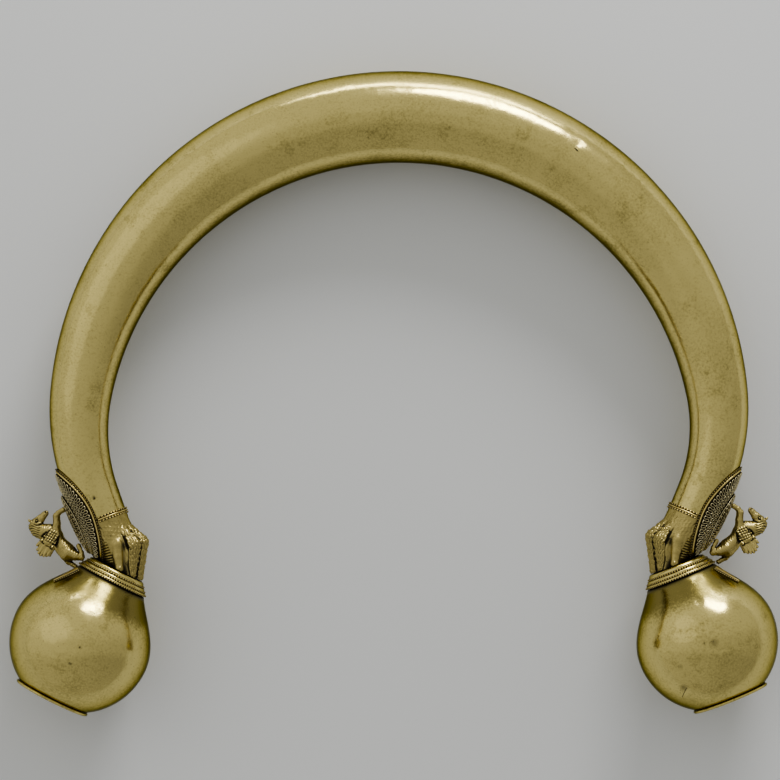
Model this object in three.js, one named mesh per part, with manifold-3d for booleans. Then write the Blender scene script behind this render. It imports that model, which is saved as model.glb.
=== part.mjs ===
// A gold torc: a hollow tapered hoop whose two ends turn into lion's paws. Each paw stands on a moulded
// collar over a pear-shaped globe, and a small winged horse runs up a filigree pad on the outer side.
// It lies on its back, on the undersides of the two globes and of the hoop's crown.
// Millimetres, +Z up. The origin is on the ground under the middle of the torc.

import * as THREE from "three";
import { mergeVertices } from "three/addons/utils/BufferGeometryUtils.js";
import Module from "manifold-3d";

const wasm = await Module();
wasm.setup();

// Hoop
const HOOP_RADIUS = 112.3; // centreline of the round bend
const HOOP_SWEEP = 82; // degrees of that bend on each side of the crown
const CROWN_RADIUS = 16.1; // tube at the crown, its thickest point
const ANKLE_RADIUS = 8.5; // tube where a paw begins
const TAPER_POWER = 1.1;
const ARMS = [
  // The hand-made ends differ: the tighter bend after the shoulder, the way the ankle heads in, in degrees
  // from straight down, and the straight stretch above it; then the angle between the leg and the globe's
  // axis, the globe's mouth measured down the leg and in from the ankle's outer line, and how high the
  // horse has climbed.
  {
    name: "left",
    side: -1,
    bend: 69.6,
    heading: 22,
    straight: 9.4,
    lean: 49,
    drop: 21.3,
    inset: 3.1,
    climb: -0.3,
  },
  {
    name: "right",
    side: 1,
    bend: 63,
    heading: 25,
    straight: 8.6,
    lean: 47,
    drop: 21.2,
    inset: 2.9,
    climb: 0.8,
  },
];

// Collar and globe
const COLLAR_HEIGHT = 4.6;
const COLLAR_TOP_RADIUS = 9.4;
const MOULDINGS = 3;
const MOULDING_RISE = 0.5;
const GLOBE_RADIUS = 24.8;
const GLOBE_MOUTH_RADIUS = 12.6;
const GLOBE_SHOULDER = 23.45; // mouth to the widest ring
const GLOBE_BASE = 21; // widest ring to the end disc
const GLOBE_BASE_CURVE = 24.9; // half-height of the ellipse that the lower half follows
const DISC_THICKNESS = 1;
const DISC_OVERHANG = 0.4;

// Paw
const LEG_TAPER = 0.045; // radius lost for each millimetre down the leg
const LEG_SWING = 0.0087; // how the leg curves in towards the toes
const PAD_BED = 0.014; // how much faster than its bed under the pad the leg slims
const KNUCKLE_DROP = 12.4;
const KNUCKLE_CIRCLE = 8.2;
const TOE_RADIUS = 3.2;
const TOE_TIP_RADIUS = 2;
const TOE_ANGLES = [-48, -16, 16, 48]; // degrees round the foot from its inner side
const SIDE_CLAW_ANGLES = [-84, 84];
const SIDE_CLAW_SHARE = 0.72; // a side claw's thickness, as a share of a toe's

// Filigree pad, an ellipse wrapped on the outer side of the ankle, and the raised ridge on it
const PAD_HALF_LENGTH = 17;
const PAD_HALF_ANGLE = 72;
const PAD_RISE = 2.6; // how far its middle lies above the ankle
const PAD_THICKNESS = 0.8;
const RIDGE_HALF_LENGTH = 11;
const RIDGE_HALF_ANGLE = 34;
const RIDGE_RISE = 1.5;
const RIDGE_HEIGHT = 1;
const RIDGE_EDGE = 0.35; // its height along the edge, as a share

// Wires and small trim
const WIRE_RADIUS = 0.3;
const LEAF_LENGTH = 9;
const LEAF_WIDTH = 3.6;
const LEAF_ANGLE = 27;
const LEAF_THICKNESS = 0.5;

// Winged horse: its height, hind hoof to poll, scales the whole figure
const HORSE_HEIGHT = 19.6;

const SEAM = 0.3; // gap between neighbouring pieces
const WIRE_GAP = 0.15; // between wires laid side by side
const REST_DEPTH = 0.35; // how deep the flat spots underneath are worn
const HOOP_STEPS = 18;
const HOOP_SIDES = 20;
const GLOBE_SIDES = 24;
const COLLAR_SIDES = 22;

const { sin, cos, PI, hypot, asin, sqrt } = Math;
const rad = THREE.MathUtils.degToRad;
const vec = (x, y, z = 0) => new THREE.Vector3(x, y, z);
const range = (count) => Array.from({ length: count }, (_, i) => i);

// Solids

function solidOf(geometry, matrix = new THREE.Matrix4()) {
  const bare = new THREE.BufferGeometry();
  bare.setAttribute("position", geometry.getAttribute("position").clone());
  if (geometry.index) bare.setIndex(geometry.index.clone());
  const merged = mergeVertices(bare.applyMatrix4(matrix), 1e-4);
  return new wasm.Manifold(
    new wasm.Mesh({
      numProp: 3,
      vertProperties: new Float32Array(merged.attributes.position.array),
      triVerts: new Uint32Array(merged.index.array),
    }),
  );
}

function geometryOf(solid) {
  const { vertProperties, triVerts } = solid.getMesh();
  const geometry = new THREE.BufferGeometry();
  geometry.setAttribute("position", new THREE.BufferAttribute(vertProperties, 3));
  geometry.setIndex(new THREE.BufferAttribute(triVerts, 1));
  geometry.computeVertexNormals();
  return geometry;
}

function unite(geometries) {
  return geometries.map((g) => solidOf(g)).reduce((whole, next) => whole.add(next));
}

// A closed skin over rings of points, which may turn either way round.
function loft(rings, loop = false) {
  const sides = rings[0].length;
  const points = rings.flat();
  const faces = [];
  const joins = loop ? rings.length : rings.length - 1;
  for (let r = 0; r < joins; r++) {
    const next = (r + 1) % rings.length;
    for (let i = 0; i < sides; i++) {
      const j = (i + 1) % sides;
      const [a, b, c, d] = [r * sides + i, r * sides + j, next * sides + j, next * sides + i];
      faces.push(a, b, c, a, c, d);
    }
  }
  if (!loop) {
    for (const [ring, flip] of [[0, true], [rings.length - 1, false]]) {
      const hub = points.length;
      points.push(rings[ring].reduce((sum, p) => sum.add(p), vec(0, 0)).divideScalar(sides));
      for (let i = 0; i < sides; i++) {
        const a = ring * sides + i;
        const b = ring * sides + ((i + 1) % sides);
        faces.push(...(flip ? [b, a, hub] : [a, b, hub]));
      }
    }
  }
  const volume = range(faces.length / 3).reduce((sum, f) => {
    const [a, b, c] = [0, 1, 2].map((k) => points[faces[3 * f + k]]);
    return sum + a.dot(vec(0, 0).crossVectors(b, c));
  }, 0);
  if (volume < 0) faces.reverse();
  return new THREE.BufferGeometry().setFromPoints(points).setIndex(faces);
}

// A rounded limb through points given as [x, y, z, radius].
function limb(joints, sides) {
  const centres = joints.map(([x, y, z]) => vec(x, y, z));
  const curve = new THREE.CatmullRomCurve3(centres, false, "centripetal");
  const up = vec(0, 0, 1);
  const rings = joints.map(([, , , radius], i) => {
    const along = curve.getTangent(i / (joints.length - 1));
    const across = vec(0, 0).crossVectors(along, up);
    if (across.length() < 0.1) across.crossVectors(along, vec(1, 0, 0));
    across.normalize();
    const over = vec(0, 0).crossVectors(along, across);
    return range(sides).map((k) => {
      const turn = (2 * PI * k) / sides;
      return centres[i]
        .clone()
        .addScaledVector(across, radius * cos(turn))
        .addScaledVector(over, radius * sin(turn));
    });
  });
  return loft(rings);
}

function lathe(profile, sides) {
  return new THREE.LatheGeometry(profile.map(([r, y]) => new THREE.Vector2(r, y)), sides);
}

// The hoop's centreline and the leg below it. Both are worked out for the right arm, x out and y up from the
// hoop's centre, by the distance from the ankle: above it is negative and down the leg is positive.

function armLength(arm) {
  const turned = rad(90 + arm.heading - HOOP_SWEEP);
  return rad(HOOP_SWEEP) * HOOP_RADIUS + turned * arm.bend + arm.straight;
}

function ankle(arm) {
  const last = rad(90 + arm.heading);
  const inset = HOOP_RADIUS - arm.bend;
  const start = vec(inset * sin(rad(HOOP_SWEEP)), inset * cos(rad(HOOP_SWEEP)));
  const bendEnd = start.add(vec(arm.bend * sin(last), arm.bend * cos(last)));
  return bendEnd.add(vec(cos(last), -sin(last)).multiplyScalar(arm.straight));
}

// The section at a distance: its centre, the way out, the way up the arm, and the tube's radius.
function section(arm, distance) {
  const length = armLength(arm);
  const up = (turn) => vec(-cos(turn), sin(turn));
  const out = (turn) => vec(sin(turn), cos(turn));
  const last = rad(90 + arm.heading);
  if (distance >= 0) {
    const centre = ankle(arm)
      .addScaledVector(up(last), -distance)
      .addScaledVector(out(last), -LEG_SWING * distance ** 2);
    return { centre, out: out(last), up: up(last), radius: ANKLE_RADIUS - LEG_TAPER * distance };
  }
  const fromCrown = length + distance;
  const share = fromCrown / length;
  const radius = ANKLE_RADIUS + (CROWN_RADIUS - ANKLE_RADIUS) * cos((PI / 2) * share) ** TAPER_POWER;
  if (-distance <= arm.straight) {
    return { centre: ankle(arm).addScaledVector(up(last), -distance), out: out(last), up: up(last), radius };
  }
  const sweep = rad(HOOP_SWEEP);
  const onCrown = fromCrown <= sweep * HOOP_RADIUS;
  const turn = onCrown
    ? fromCrown / HOOP_RADIUS
    : sweep + (fromCrown - sweep * HOOP_RADIUS) / arm.bend;
  const inset = onCrown ? 0 : HOOP_RADIUS - arm.bend;
  const centre = vec(inset * sin(sweep), inset * cos(sweep)).addScaledVector(
    out(turn),
    onCrown ? HOOP_RADIUS : arm.bend,
  );
  return { centre, out: out(turn), up: up(turn), radius };
}

// A point over the arm's surface, at an angle in radians from its outermost line towards the front.
function overSurface(arm, distance, angle, height) {
  const { centre, out, radius } = section(arm, distance);
  const reach = radius + height;
  return centre.clone().addScaledVector(out, reach * cos(angle)).add(vec(0, 0, reach * sin(angle)));
}

function hoop() {
  const ring = (arm, distance) =>
    range(HOOP_SIDES).map((k) => {
      const p = overSurface(arm, distance, (2 * PI * k) / HOOP_SIDES + PI / 2, 0);
      return vec(arm.side * p.x, p.y, p.z);
    });
  const [left, right] = ARMS;
  const down = (arm) =>
    range(HOOP_STEPS + 1).map((i) => (-armLength(arm) * (HOOP_STEPS - i)) / HOOP_STEPS - SEAM / 2);
  const leftRings = down(left).slice(1).reverse().map((d) => ring(left, d));
  const rightRings = down(right).map((d) => ring(right, d));
  return loft([...leftRings, ...rightRings]);
}

// Foot pieces, turned about the globe's axis: y is up from the globe's mouth to the paw

function globeProfile() {
  const shoulder = new THREE.CubicBezierCurve(
    new THREE.Vector2(GLOBE_MOUTH_RADIUS, 0),
    new THREE.Vector2(GLOBE_MOUTH_RADIUS * 1.3, -GLOBE_SHOULDER * 0.27),
    new THREE.Vector2(GLOBE_RADIUS, -GLOBE_SHOULDER * 0.55),
    new THREE.Vector2(GLOBE_RADIUS, -GLOBE_SHOULDER),
  );
  const below = asin(GLOBE_BASE / GLOBE_BASE_CURVE);
  const upper = shoulder.getPoints(5).map((p) => [p.x, p.y]);
  const lower = [1, 2, 3, 4].map((i) => [
    GLOBE_RADIUS * cos((below * i) / 4),
    -GLOBE_SHOULDER - GLOBE_BASE_CURVE * sin((below * i) / 4),
  ]);
  return [[0, 0], ...upper, ...lower, [0, -GLOBE_SHOULDER - GLOBE_BASE]].reverse();
}

function discRadius() {
  const share = GLOBE_BASE / GLOBE_BASE_CURVE;
  return GLOBE_RADIUS * sqrt(1 - share ** 2) + DISC_OVERHANG;
}

function endDisc() {
  const top = -GLOBE_SHOULDER - GLOBE_BASE - SEAM;
  const bottom = top - DISC_THICKNESS;
  const edge = discRadius();
  const round = DISC_THICKNESS / 3;
  const rim = [[edge - round, bottom], [edge, bottom + round], [edge, top - round], [edge - round, top]];
  return lathe([[0, bottom], ...rim, [0, top]], GLOBE_SIDES);
}

// A place on the collar's cone: a share of the way down from the paw, and a height off the cone.
function onCollar(share, height) {
  const [dr, dy] = [GLOBE_MOUTH_RADIUS - COLLAR_TOP_RADIUS, SEAM - COLLAR_HEIGHT];
  const lift = height / hypot(dr, dy);
  return [COLLAR_TOP_RADIUS + dr * share - dy * lift, COLLAR_HEIGHT + dy * share + dr * lift];
}

function collar() {
  const bumps = range(MOULDINGS).flatMap((i) =>
    [[0.25, MOULDING_RISE], [0.65, MOULDING_RISE], [0.95, 0]].map(([part, rise]) =>
      onCollar((i + part) / MOULDINGS, rise),
    ),
  );
  const bottom = [[0, SEAM], [GLOBE_MOUTH_RADIUS - 0.2, SEAM]];
  return lathe([...bottom, ...bumps.reverse(), onCollar(0, 0), [0, COLLAR_HEIGHT]], COLLAR_SIDES);
}

// The three corners of a wire at a place on its route, given the way out and the way aside there.
function wireSection(centre, outward, aside) {
  return range(3).map((c) => {
    const tilt = (2 * PI * c) / 3;
    const corner = centre.clone().addScaledVector(outward, WIRE_RADIUS * cos(tilt));
    return corner.addScaledVector(aside, WIRE_RADIUS * sin(tilt));
  });
}

function wireLoop(radius, y) {
  const steps = 18;
  const rings = range(steps).map((k) => {
    const turn = (2 * PI * k) / steps;
    const outward = vec(cos(turn), 0, sin(turn));
    const centre = outward.clone().multiplyScalar(radius).setY(y);
    return wireSection(centre, outward, vec(0, 1));
  });
  return loft(rings, true);
}

// One of the two pointed leaves that run down the globe's shoulder from the collar.
function leaf(front) {
  const profile = globeProfile().reverse().slice(1, 7);
  const skin = (down, lift) => {
    const past = profile.findIndex(([, y]) => -y >= down);
    const [[r0, y0], [r1, y1]] = [profile[past - 1], profile[past]];
    const share = (down + y0) / (y0 - y1);
    const slope = hypot(r1 - r0, y1 - y0);
    return [r0 + (r1 - r0) * share - (lift * (y1 - y0)) / slope, -down + (lift * (r1 - r0)) / slope];
  };
  const rings = [0.16, 0.4, 0.65, 0.95].map((part) => {
    const half = (LEAF_WIDTH / 2) * (1 - part ** 2) + 0.1;
    const corner = (sideways, lift) => {
      const [r, y] = skin(LEAF_LENGTH * part, lift + SEAM);
      const turn = rad(LEAF_ANGLE) + (sideways * half) / r;
      return vec(r * cos(turn), y, r * sin(turn) * front);
    };
    const low = LEAF_THICKNESS * 0.4;
    const high = low + LEAF_THICKNESS;
    return [corner(-1, low), corner(1, low), corner(1, high), corner(-1, high)];
  });
  return loft(rings);
}

// Paw, in the leg's frame: x out, y up from the ankle

// The foot's own directions: up the globe's axis, and across it to the inner side.
function foot({ lean, drop, inset }) {
  const up = vec(-sin(rad(lean)), cos(rad(lean)));
  const inward = vec(-cos(rad(lean)), -sin(rad(lean)));
  const mouth = vec(ANKLE_RADIUS - inset, -drop);
  const place = (base) => (across, rise) =>
    base.clone().addScaledVector(inward, across).addScaledVector(up, rise);
  const sole = place(mouth)(0, COLLAR_HEIGHT);
  return { atMouth: place(mouth), atSole: place(sole) };
}

// The leg's outer line stays under the pad, and its inner line runs on to the toes. Each ring is the
// outer point's x and y, the inner point's x and y, and half its depth.
function leg(arm) {
  const sides = 16;
  const { atSole } = foot(arm);
  const taper = (drop) => ANKLE_RADIUS - (LEG_TAPER + PAD_BED) * drop;
  const outer = (drop) => vec(taper(drop) - LEG_SWING * drop ** 2, -drop);
  const rings = [
    [outer(SEAM / 2), vec(-ANKLE_RADIUS, -SEAM / 2), ANKLE_RADIUS],
    [outer(4.5), vec(-ANKLE_RADIUS + 0.1, -5), taper(4)],
    [outer(8.5), vec(-ANKLE_RADIUS + 0.3, -10.5), taper(8)],
    [outer(11).sub(vec(SEAM, 0)), vec(-ANKLE_RADIUS + 0.6, -15), taper(12)],
    [atSole(-COLLAR_TOP_RADIUS + 4.4, 0), atSole(COLLAR_TOP_RADIUS - 2, 0), taper(18)],
    [atSole(-COLLAR_TOP_RADIUS + 4.4, -2), atSole(COLLAR_TOP_RADIUS - 2, -2), taper(18)],
  ];
  return loft(
    rings.map(([out, inner, depth]) => {
      const middle = out.clone().add(inner).multiplyScalar(0.5);
      const reach = out.clone().sub(middle);
      return range(sides).map((k) => {
        const turn = (2 * PI * k) / sides;
        return middle.clone().addScaledVector(reach, cos(turn)).add(vec(0, 0, depth * sin(turn)));
      });
    }),
  );
}

function toe(arm, angle, share) {
  const [c, s] = [cos(rad(angle)), sin(rad(angle))];
  const small = share < 1;
  const fat = TOE_RADIUS * share;
  const tipReach = COLLAR_TOP_RADIUS + 0.2 - TOE_TIP_RADIUS * share;
  const tipAt = (rise) => foot(arm).atSole(tipReach * c, rise).add(vec(0, 0, (tipReach - 0.4) * s));
  const tip = tipAt(1);
  const drop = small ? KNUCKLE_DROP - 2 : KNUCKLE_DROP;
  const circle = KNUCKLE_CIRCLE + (small ? -0.8 : 0);
  const knuckle = vec(-0.8 - circle * c, -drop, circle * 0.88 * s);
  const root = vec(-0.4 - (ANKLE_RADIUS - 4) * c, -4, (ANKLE_RADIUS - 4) * s);
  const middle = knuckle.clone().lerp(tip, 0.5);
  const joint = (p, radius) => [p.x, p.y, p.z, radius];
  return limb(
    [
      joint(root, fat * 0.9),
      joint(root.clone().lerp(knuckle, 0.6), fat * 0.95),
      joint(knuckle, fat),
      joint(middle, fat * 0.85),
      joint(tip, TOE_TIP_RADIUS * share),
      joint(tipAt(-1.5), TOE_TIP_RADIUS * share * 0.9),
    ],
    7,
  );
}

// Everything below the plane that the paw stands on, in the leg's frame.
function belowSole(arm) {
  const depth = 40;
  const box = new THREE.BoxGeometry(120, depth, 80);
  const middle = foot(arm).atSole(0, SEAM - depth / 2);
  return solidOf(box, new THREE.Matrix4().makeRotationZ(rad(arm.lean)).setPosition(middle));
}

function paw(arm) {
  const toes = TOE_ANGLES.map((angle) => toe(arm, angle, 1));
  const claws = SIDE_CLAW_ANGLES.map((angle) => toe(arm, angle, SIDE_CLAW_SHARE));
  return unite([leg(arm), ...toes, ...claws]).subtract(belowSole(arm));
}

// Pad pieces, wrapped on the arm in the torc's own frame

function legFrame(arm) {
  const end = ankle(arm);
  return new THREE.Matrix4().makeRotationZ(-rad(arm.heading)).setPosition(end);
}

function aboveSole(arm, geometry) {
  const cutter = belowSole(arm).transform(legFrame(arm).elements);
  return geometryOf(solidOf(geometry).subtract(cutter));
}

// A dome-edged patch on the arm, elliptical in distance and angle.
function patch(arm, { halfLength, halfAngle, rise, low, high, steps, columns }) {
  const rings = range(steps + 1).map((i) => {
    const along = -cos((PI * (i + 0.35)) / (steps + 0.7));
    const distance = -rise + halfLength * along;
    const half = rad(halfAngle) * sqrt(1 - along ** 2);
    const row = (height, flip) =>
      range(columns + 1).map((c) => {
        const share = flip * (1 - (2 * c) / columns);
        return overSurface(arm, distance, half * share, height(along, share));
      });
    return [...row(low, 1), ...row(high, -1)];
  });
  return loft(rings);
}

function pad(arm) {
  return patch(arm, {
    halfLength: PAD_HALF_LENGTH,
    halfAngle: PAD_HALF_ANGLE,
    rise: PAD_RISE,
    low: () => SEAM,
    high: () => SEAM + PAD_THICKNESS,
    steps: 10,
    columns: 6,
  });
}

const ridgeFoot = 2 * SEAM + PAD_THICKNESS;

function ridge(arm) {
  const crown = (along, share) => (1 - RIDGE_EDGE) * (1 - along ** 2) * (1 - share ** 2);
  return patch(arm, {
    halfLength: RIDGE_HALF_LENGTH,
    halfAngle: RIDGE_HALF_ANGLE,
    rise: RIDGE_RISE,
    low: () => ridgeFoot,
    high: (along, share) => ridgeFoot + RIDGE_HEIGHT * (RIDGE_EDGE + crown(along, share)),
    steps: 8,
    columns: 3,
  });
}

const wireStep = 2 * WIRE_RADIUS + WIRE_GAP;
const padWireClear = WIRE_RADIUS + WIRE_GAP;

// Where the middle of a wire lies over the arm, with the directions off the surface and up the arm.
function wireSeat(arm, distance, angle) {
  const { up } = section(arm, distance);
  const foot = overSurface(arm, distance, angle, 0);
  const centre = overSurface(arm, distance, angle, SEAM + WIRE_RADIUS);
  return { centre, outward: centre.clone().sub(foot).normalize(), up };
}

// A wire laid round the pad, a clear distance out from its edge.
function padWire(arm, clear) {
  const steps = 30;
  const rings = range(steps).map((k) => {
    const turn = (2 * PI * k) / steps;
    const distance = -PAD_RISE - (PAD_HALF_LENGTH + clear) * cos(turn);
    const { radius } = section(arm, distance);
    const angle = (rad(PAD_HALF_ANGLE) + clear / radius) * sin(turn);
    const { centre, outward, up } = wireSeat(arm, distance, angle);
    const aside = up.clone().multiplyScalar(cos(turn));
    aside.addScaledVector(vec(0, 0).crossVectors(up, outward), -sin(turn));
    return wireSection(centre, outward, aside);
  });
  return loft(rings, true);
}

// A wire round the ankle that stops at the pad's wires.
function ankleWire(arm, distance) {
  const clear = padWireClear + wireStep + WIRE_RADIUS + SEAM;
  const { radius } = section(arm, distance);
  const start = rad(PAD_HALF_ANGLE) + clear / radius;
  const steps = 13;
  const rings = range(steps + 1).map((k) => {
    const { centre, outward, up } = wireSeat(arm, distance, start + ((2 * PI - 2 * start) * k) / steps);
    return wireSection(centre, outward, up);
  });
  return loft(rings);
}

// Winged horse, rearing up the leg: x out from the ridge, y up from the collar's rim. It is drawn in
// millimetres at the height below, then scaled. Its near hind hoof is on the pad and its far one on the rim.

const DRAWN_HEIGHT = 19.6;
const WING_THINNESS = 0.55; // feathers lie flat, so a wing keeps its outline and loses its thickness

function horse() {
  const scale = HORSE_HEIGHT / DRAWN_HEIGHT;
  const size = (joints) => joints.map((joint) => joint.map((value) => value * scale));
  const trunk = [
    [3.2, 4.1, 0, 1.3],
    [4.8, 5.4, 0, 2.8],
    [5.7, 7.4, 0, 2.5],
    [6.3, 10, 0, 1.9],
    [6.9, 13, 0, 2.5],
    [8.2, 15, 0, 2.4],
    [10.6, 16, 0, 2],
    [12.4, 17.6, 0, 1.5],
    [13, 19, 0, 0.8],
  ];
  const head = [
    [13.1, 18.4, 0, 1],
    [11.6, 19.5, 0, 1.6],
    [9.2, 20.6, 0, 1.2],
    [7.3, 21.4, 0, 1],
    [6.5, 21.7, 0, 0.5],
  ];
  const mirrored = (joints) => joints.map(([x, y, z, r]) => [x, y, -z, r]);
  const fore = [
    [6, 14, 1.4, 1.5],
    [4.4, 17, 1.7, 1],
    [3.7, 19.8, 1.7, 0.75],
    [1.8, 20.2, 1.6, 0.6],
    [0.55, 20.3, 1.5, 0.75],
  ];
  const nearHind = [
    [4.6, 5.6, 1.4, 1.8],
    [2.6, 3.4, 1.6, 1.3],
    [0.6, 2.2, 1.6, 0.75],
    [-0.2, 4.2, 1.6, 0.6],
    [0, 6.8, 1.5, 0.7],
  ];
  const farHind = [
    [4.8, 5.6, -1.4, 1.8],
    [6, 4, -1.6, 1.2],
    [5.9, 2.6, -1.6, 0.75],
    [5.2, 1.7, -1.5, 0.6],
    [4.6, 1.3, -1.5, 0.6],
  ];
  const wing = [
    [5.4, 14, 2.2, 0.8],
    [7, 13.6, 2.8, 1.9],
    [9.4, 12.3, 3.3, 2.5],
    [11.8, 10.7, 3.8, 2.3],
    [13.6, 9.4, 4.2, 0.9],
  ];
  const parts = [limb(size(trunk), 8), limb(size(head), 6)];
  for (const joints of [fore, mirrored(fore), nearHind, farHind]) parts.push(limb(size(joints), 5));
  for (const joints of [wing, mirrored(wing)]) {
    const level = size(joints)[2][2] * (1 - WING_THINNESS);
    const flat = new THREE.Matrix4().makeScale(1, 1, WING_THINNESS).setPosition(0, 0, level);
    parts.push(limb(size(joints), 6).applyMatrix4(flat));
  }
  return unite(parts);
}

// The whole torc, built standing on its plane and then laid on its back

const gold = (tone) => new THREE.MeshStandardMaterial({ color: tone, metalness: 1, roughness: 0.28 });
const sheetGold = gold(0xc9b46a);
const wireGold = gold(0xb79f55);
const filigreeGold = gold(0x8f7c42);
const castGold = gold(0xbfa65c);

const torc = new THREE.Group();

function add(parent, name, geometry, material) {
  const mesh = new THREE.Mesh(geometry, material);
  mesh.name = name;
  parent.add(mesh);
  return mesh;
}

// The torc leans towards its crown by the difference between the globes and the crown.
const globeMiddles = ARMS.map((arm) => {
  return foot(arm).atMouth(0, -GLOBE_SHOULDER).applyMatrix4(legFrame(arm)).y;
});
const globeLevel = (globeMiddles[0] + globeMiddles[1]) / 2;
const lean = asin((GLOBE_RADIUS - CROWN_RADIUS) / (HOOP_RADIUS - globeLevel));
const ground = CROWN_RADIUS + HOOP_RADIUS * sin(lean) - REST_DEPTH;
torc.rotation.x = -lean;
torc.position.z = ground;
torc.updateMatrix();

// Cuts a piece off flat at the ground. Its frame is given by a matrix into the torc's plane.
function restOnGround(geometry, frame = new THREE.Matrix4()) {
  const depth = 20;
  const slab = new THREE.BoxGeometry(600, 600, depth).translate(0, 0, -depth / 2);
  const place = torc.matrix.clone().multiply(frame).invert();
  return geometryOf(solidOf(geometry).subtract(solidOf(slab, place)));
}

add(torc, "hoop", restOnGround(hoop()), sheetGold);

for (const arm of ARMS) {
  const named = (name) => `${arm.name}_${name}`;
  const armGroup = new THREE.Group();
  armGroup.scale.x = arm.side;
  torc.add(armGroup);

  const legGroup = new THREE.Group();
  legGroup.position.copy(ankle(arm));
  legGroup.rotation.z = -rad(arm.heading);
  armGroup.add(legGroup);

  const footGroup = new THREE.Group();
  footGroup.position.copy(foot(arm).atMouth(0, 0));
  footGroup.rotation.z = rad(arm.lean);
  footGroup.updateMatrix();
  legGroup.add(footGroup);

  const footFrame = legFrame(arm).multiply(footGroup.matrix);
  const globe = restOnGround(lathe(globeProfile(), GLOBE_SIDES), footFrame);
  add(footGroup, named("globe"), globe, sheetGold);
  add(footGroup, named("end_disc"), endDisc(), sheetGold);
  add(footGroup, named("collar"), collar(), sheetGold);
  for (const i of range(MOULDINGS)) {
    const [r, y] = onCollar((i + 0.95) / MOULDINGS, SEAM + WIRE_RADIUS + 0.1);
    add(footGroup, named(`collar_beads_${i + 1}`), wireLoop(r, y), wireGold);
  }
  add(footGroup, named("leaf_front"), leaf(1), wireGold);
  add(footGroup, named("leaf_back"), leaf(-1), wireGold);

  add(legGroup, named("paw"), geometryOf(paw(arm)), castGold);
  const figure = add(legGroup, named("winged_horse"), geometryOf(horse()), castGold);
  const rim = foot(arm).atMouth(-GLOBE_MOUTH_RADIUS, 0);
  figure.position.set(ANKLE_RADIUS + ridgeFoot + RIDGE_HEIGHT, rim.y + arm.climb, 0);

  add(armGroup, named("filigree_pad"), aboveSole(arm, pad(arm)), filigreeGold);
  add(armGroup, named("filigree_ridge"), aboveSole(arm, ridge(arm)), filigreeGold);
  add(armGroup, named("pad_wire"), aboveSole(arm, padWire(arm, padWireClear)), wireGold);
  add(armGroup, named("pad_beads"), aboveSole(arm, padWire(arm, padWireClear + wireStep)), wireGold);
  for (const [name, step] of [["ankle_beads_upper", -1], ["ankle_wire", 0], ["ankle_beads_lower", 1]]) {
    add(armGroup, named(name), ankleWire(arm, step * wireStep), wireGold);
  }
}

// The origin goes under the middle of the torc, on the ground.
torc.updateMatrixWorld(true);
const outline = new THREE.Box3().setFromObject(torc, true);
torc.position.x -= (outline.min.x + outline.max.x) / 2;
torc.position.y -= (outline.min.y + outline.max.y) / 2;

const model = new THREE.Group();
model.add(torc);
export default model;
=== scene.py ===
from types import SimpleNamespace

import bpy
import numpy as np
from bpy.props import FloatProperty, FloatVectorProperty, IntProperty, PointerProperty
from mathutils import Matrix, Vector


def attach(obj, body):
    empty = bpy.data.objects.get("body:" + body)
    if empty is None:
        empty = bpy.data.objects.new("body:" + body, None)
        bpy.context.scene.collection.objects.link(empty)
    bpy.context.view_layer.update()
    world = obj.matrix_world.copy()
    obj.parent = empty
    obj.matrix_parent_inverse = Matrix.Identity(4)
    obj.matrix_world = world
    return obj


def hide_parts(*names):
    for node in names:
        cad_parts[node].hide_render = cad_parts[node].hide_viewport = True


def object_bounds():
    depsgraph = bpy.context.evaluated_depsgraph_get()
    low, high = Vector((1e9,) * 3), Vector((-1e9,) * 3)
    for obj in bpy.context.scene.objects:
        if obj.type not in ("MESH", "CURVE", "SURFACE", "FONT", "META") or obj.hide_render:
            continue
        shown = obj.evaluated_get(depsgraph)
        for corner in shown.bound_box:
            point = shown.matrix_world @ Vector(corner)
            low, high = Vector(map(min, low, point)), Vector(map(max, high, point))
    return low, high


bl_info = {
    "name": "Gold torc",
    "version": (1, 0, 0),
    "blender": (4, 5, 0),
    "location": "3D View > Sidebar > Torc",
    "description": "Fine gold surfaces, filigree, paws and winged horses of a torc, and its stage",
    "category": "Add Mesh",
}

MM = 0.001

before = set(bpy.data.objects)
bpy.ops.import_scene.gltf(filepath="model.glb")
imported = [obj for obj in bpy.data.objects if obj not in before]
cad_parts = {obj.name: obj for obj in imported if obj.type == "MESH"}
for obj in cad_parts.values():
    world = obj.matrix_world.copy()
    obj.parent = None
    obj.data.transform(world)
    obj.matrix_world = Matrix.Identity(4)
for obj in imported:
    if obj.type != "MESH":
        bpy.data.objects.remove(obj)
CAD_BOX = [list(corner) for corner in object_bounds()]

# The two hand-made ends, in millimetres and degrees: the radius of the bend after the shoulder, the way that
# the ankle heads in, the straight above it, the angle between the leg and the globe's axis, how far down the
# leg and in from its outer line the globe's mouth lies, and how far the horse stands above its rim.
ARMS = {
    "left": dict(side=-1, bend=69.6, heading=22, straight=9.4, lean=49, drop=21.3, inset=3.1, climb=-0.3),
    "right": dict(side=1, bend=63, heading=25, straight=8.6, lean=47, drop=21.2, inset=2.9, climb=0.8),
}

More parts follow.
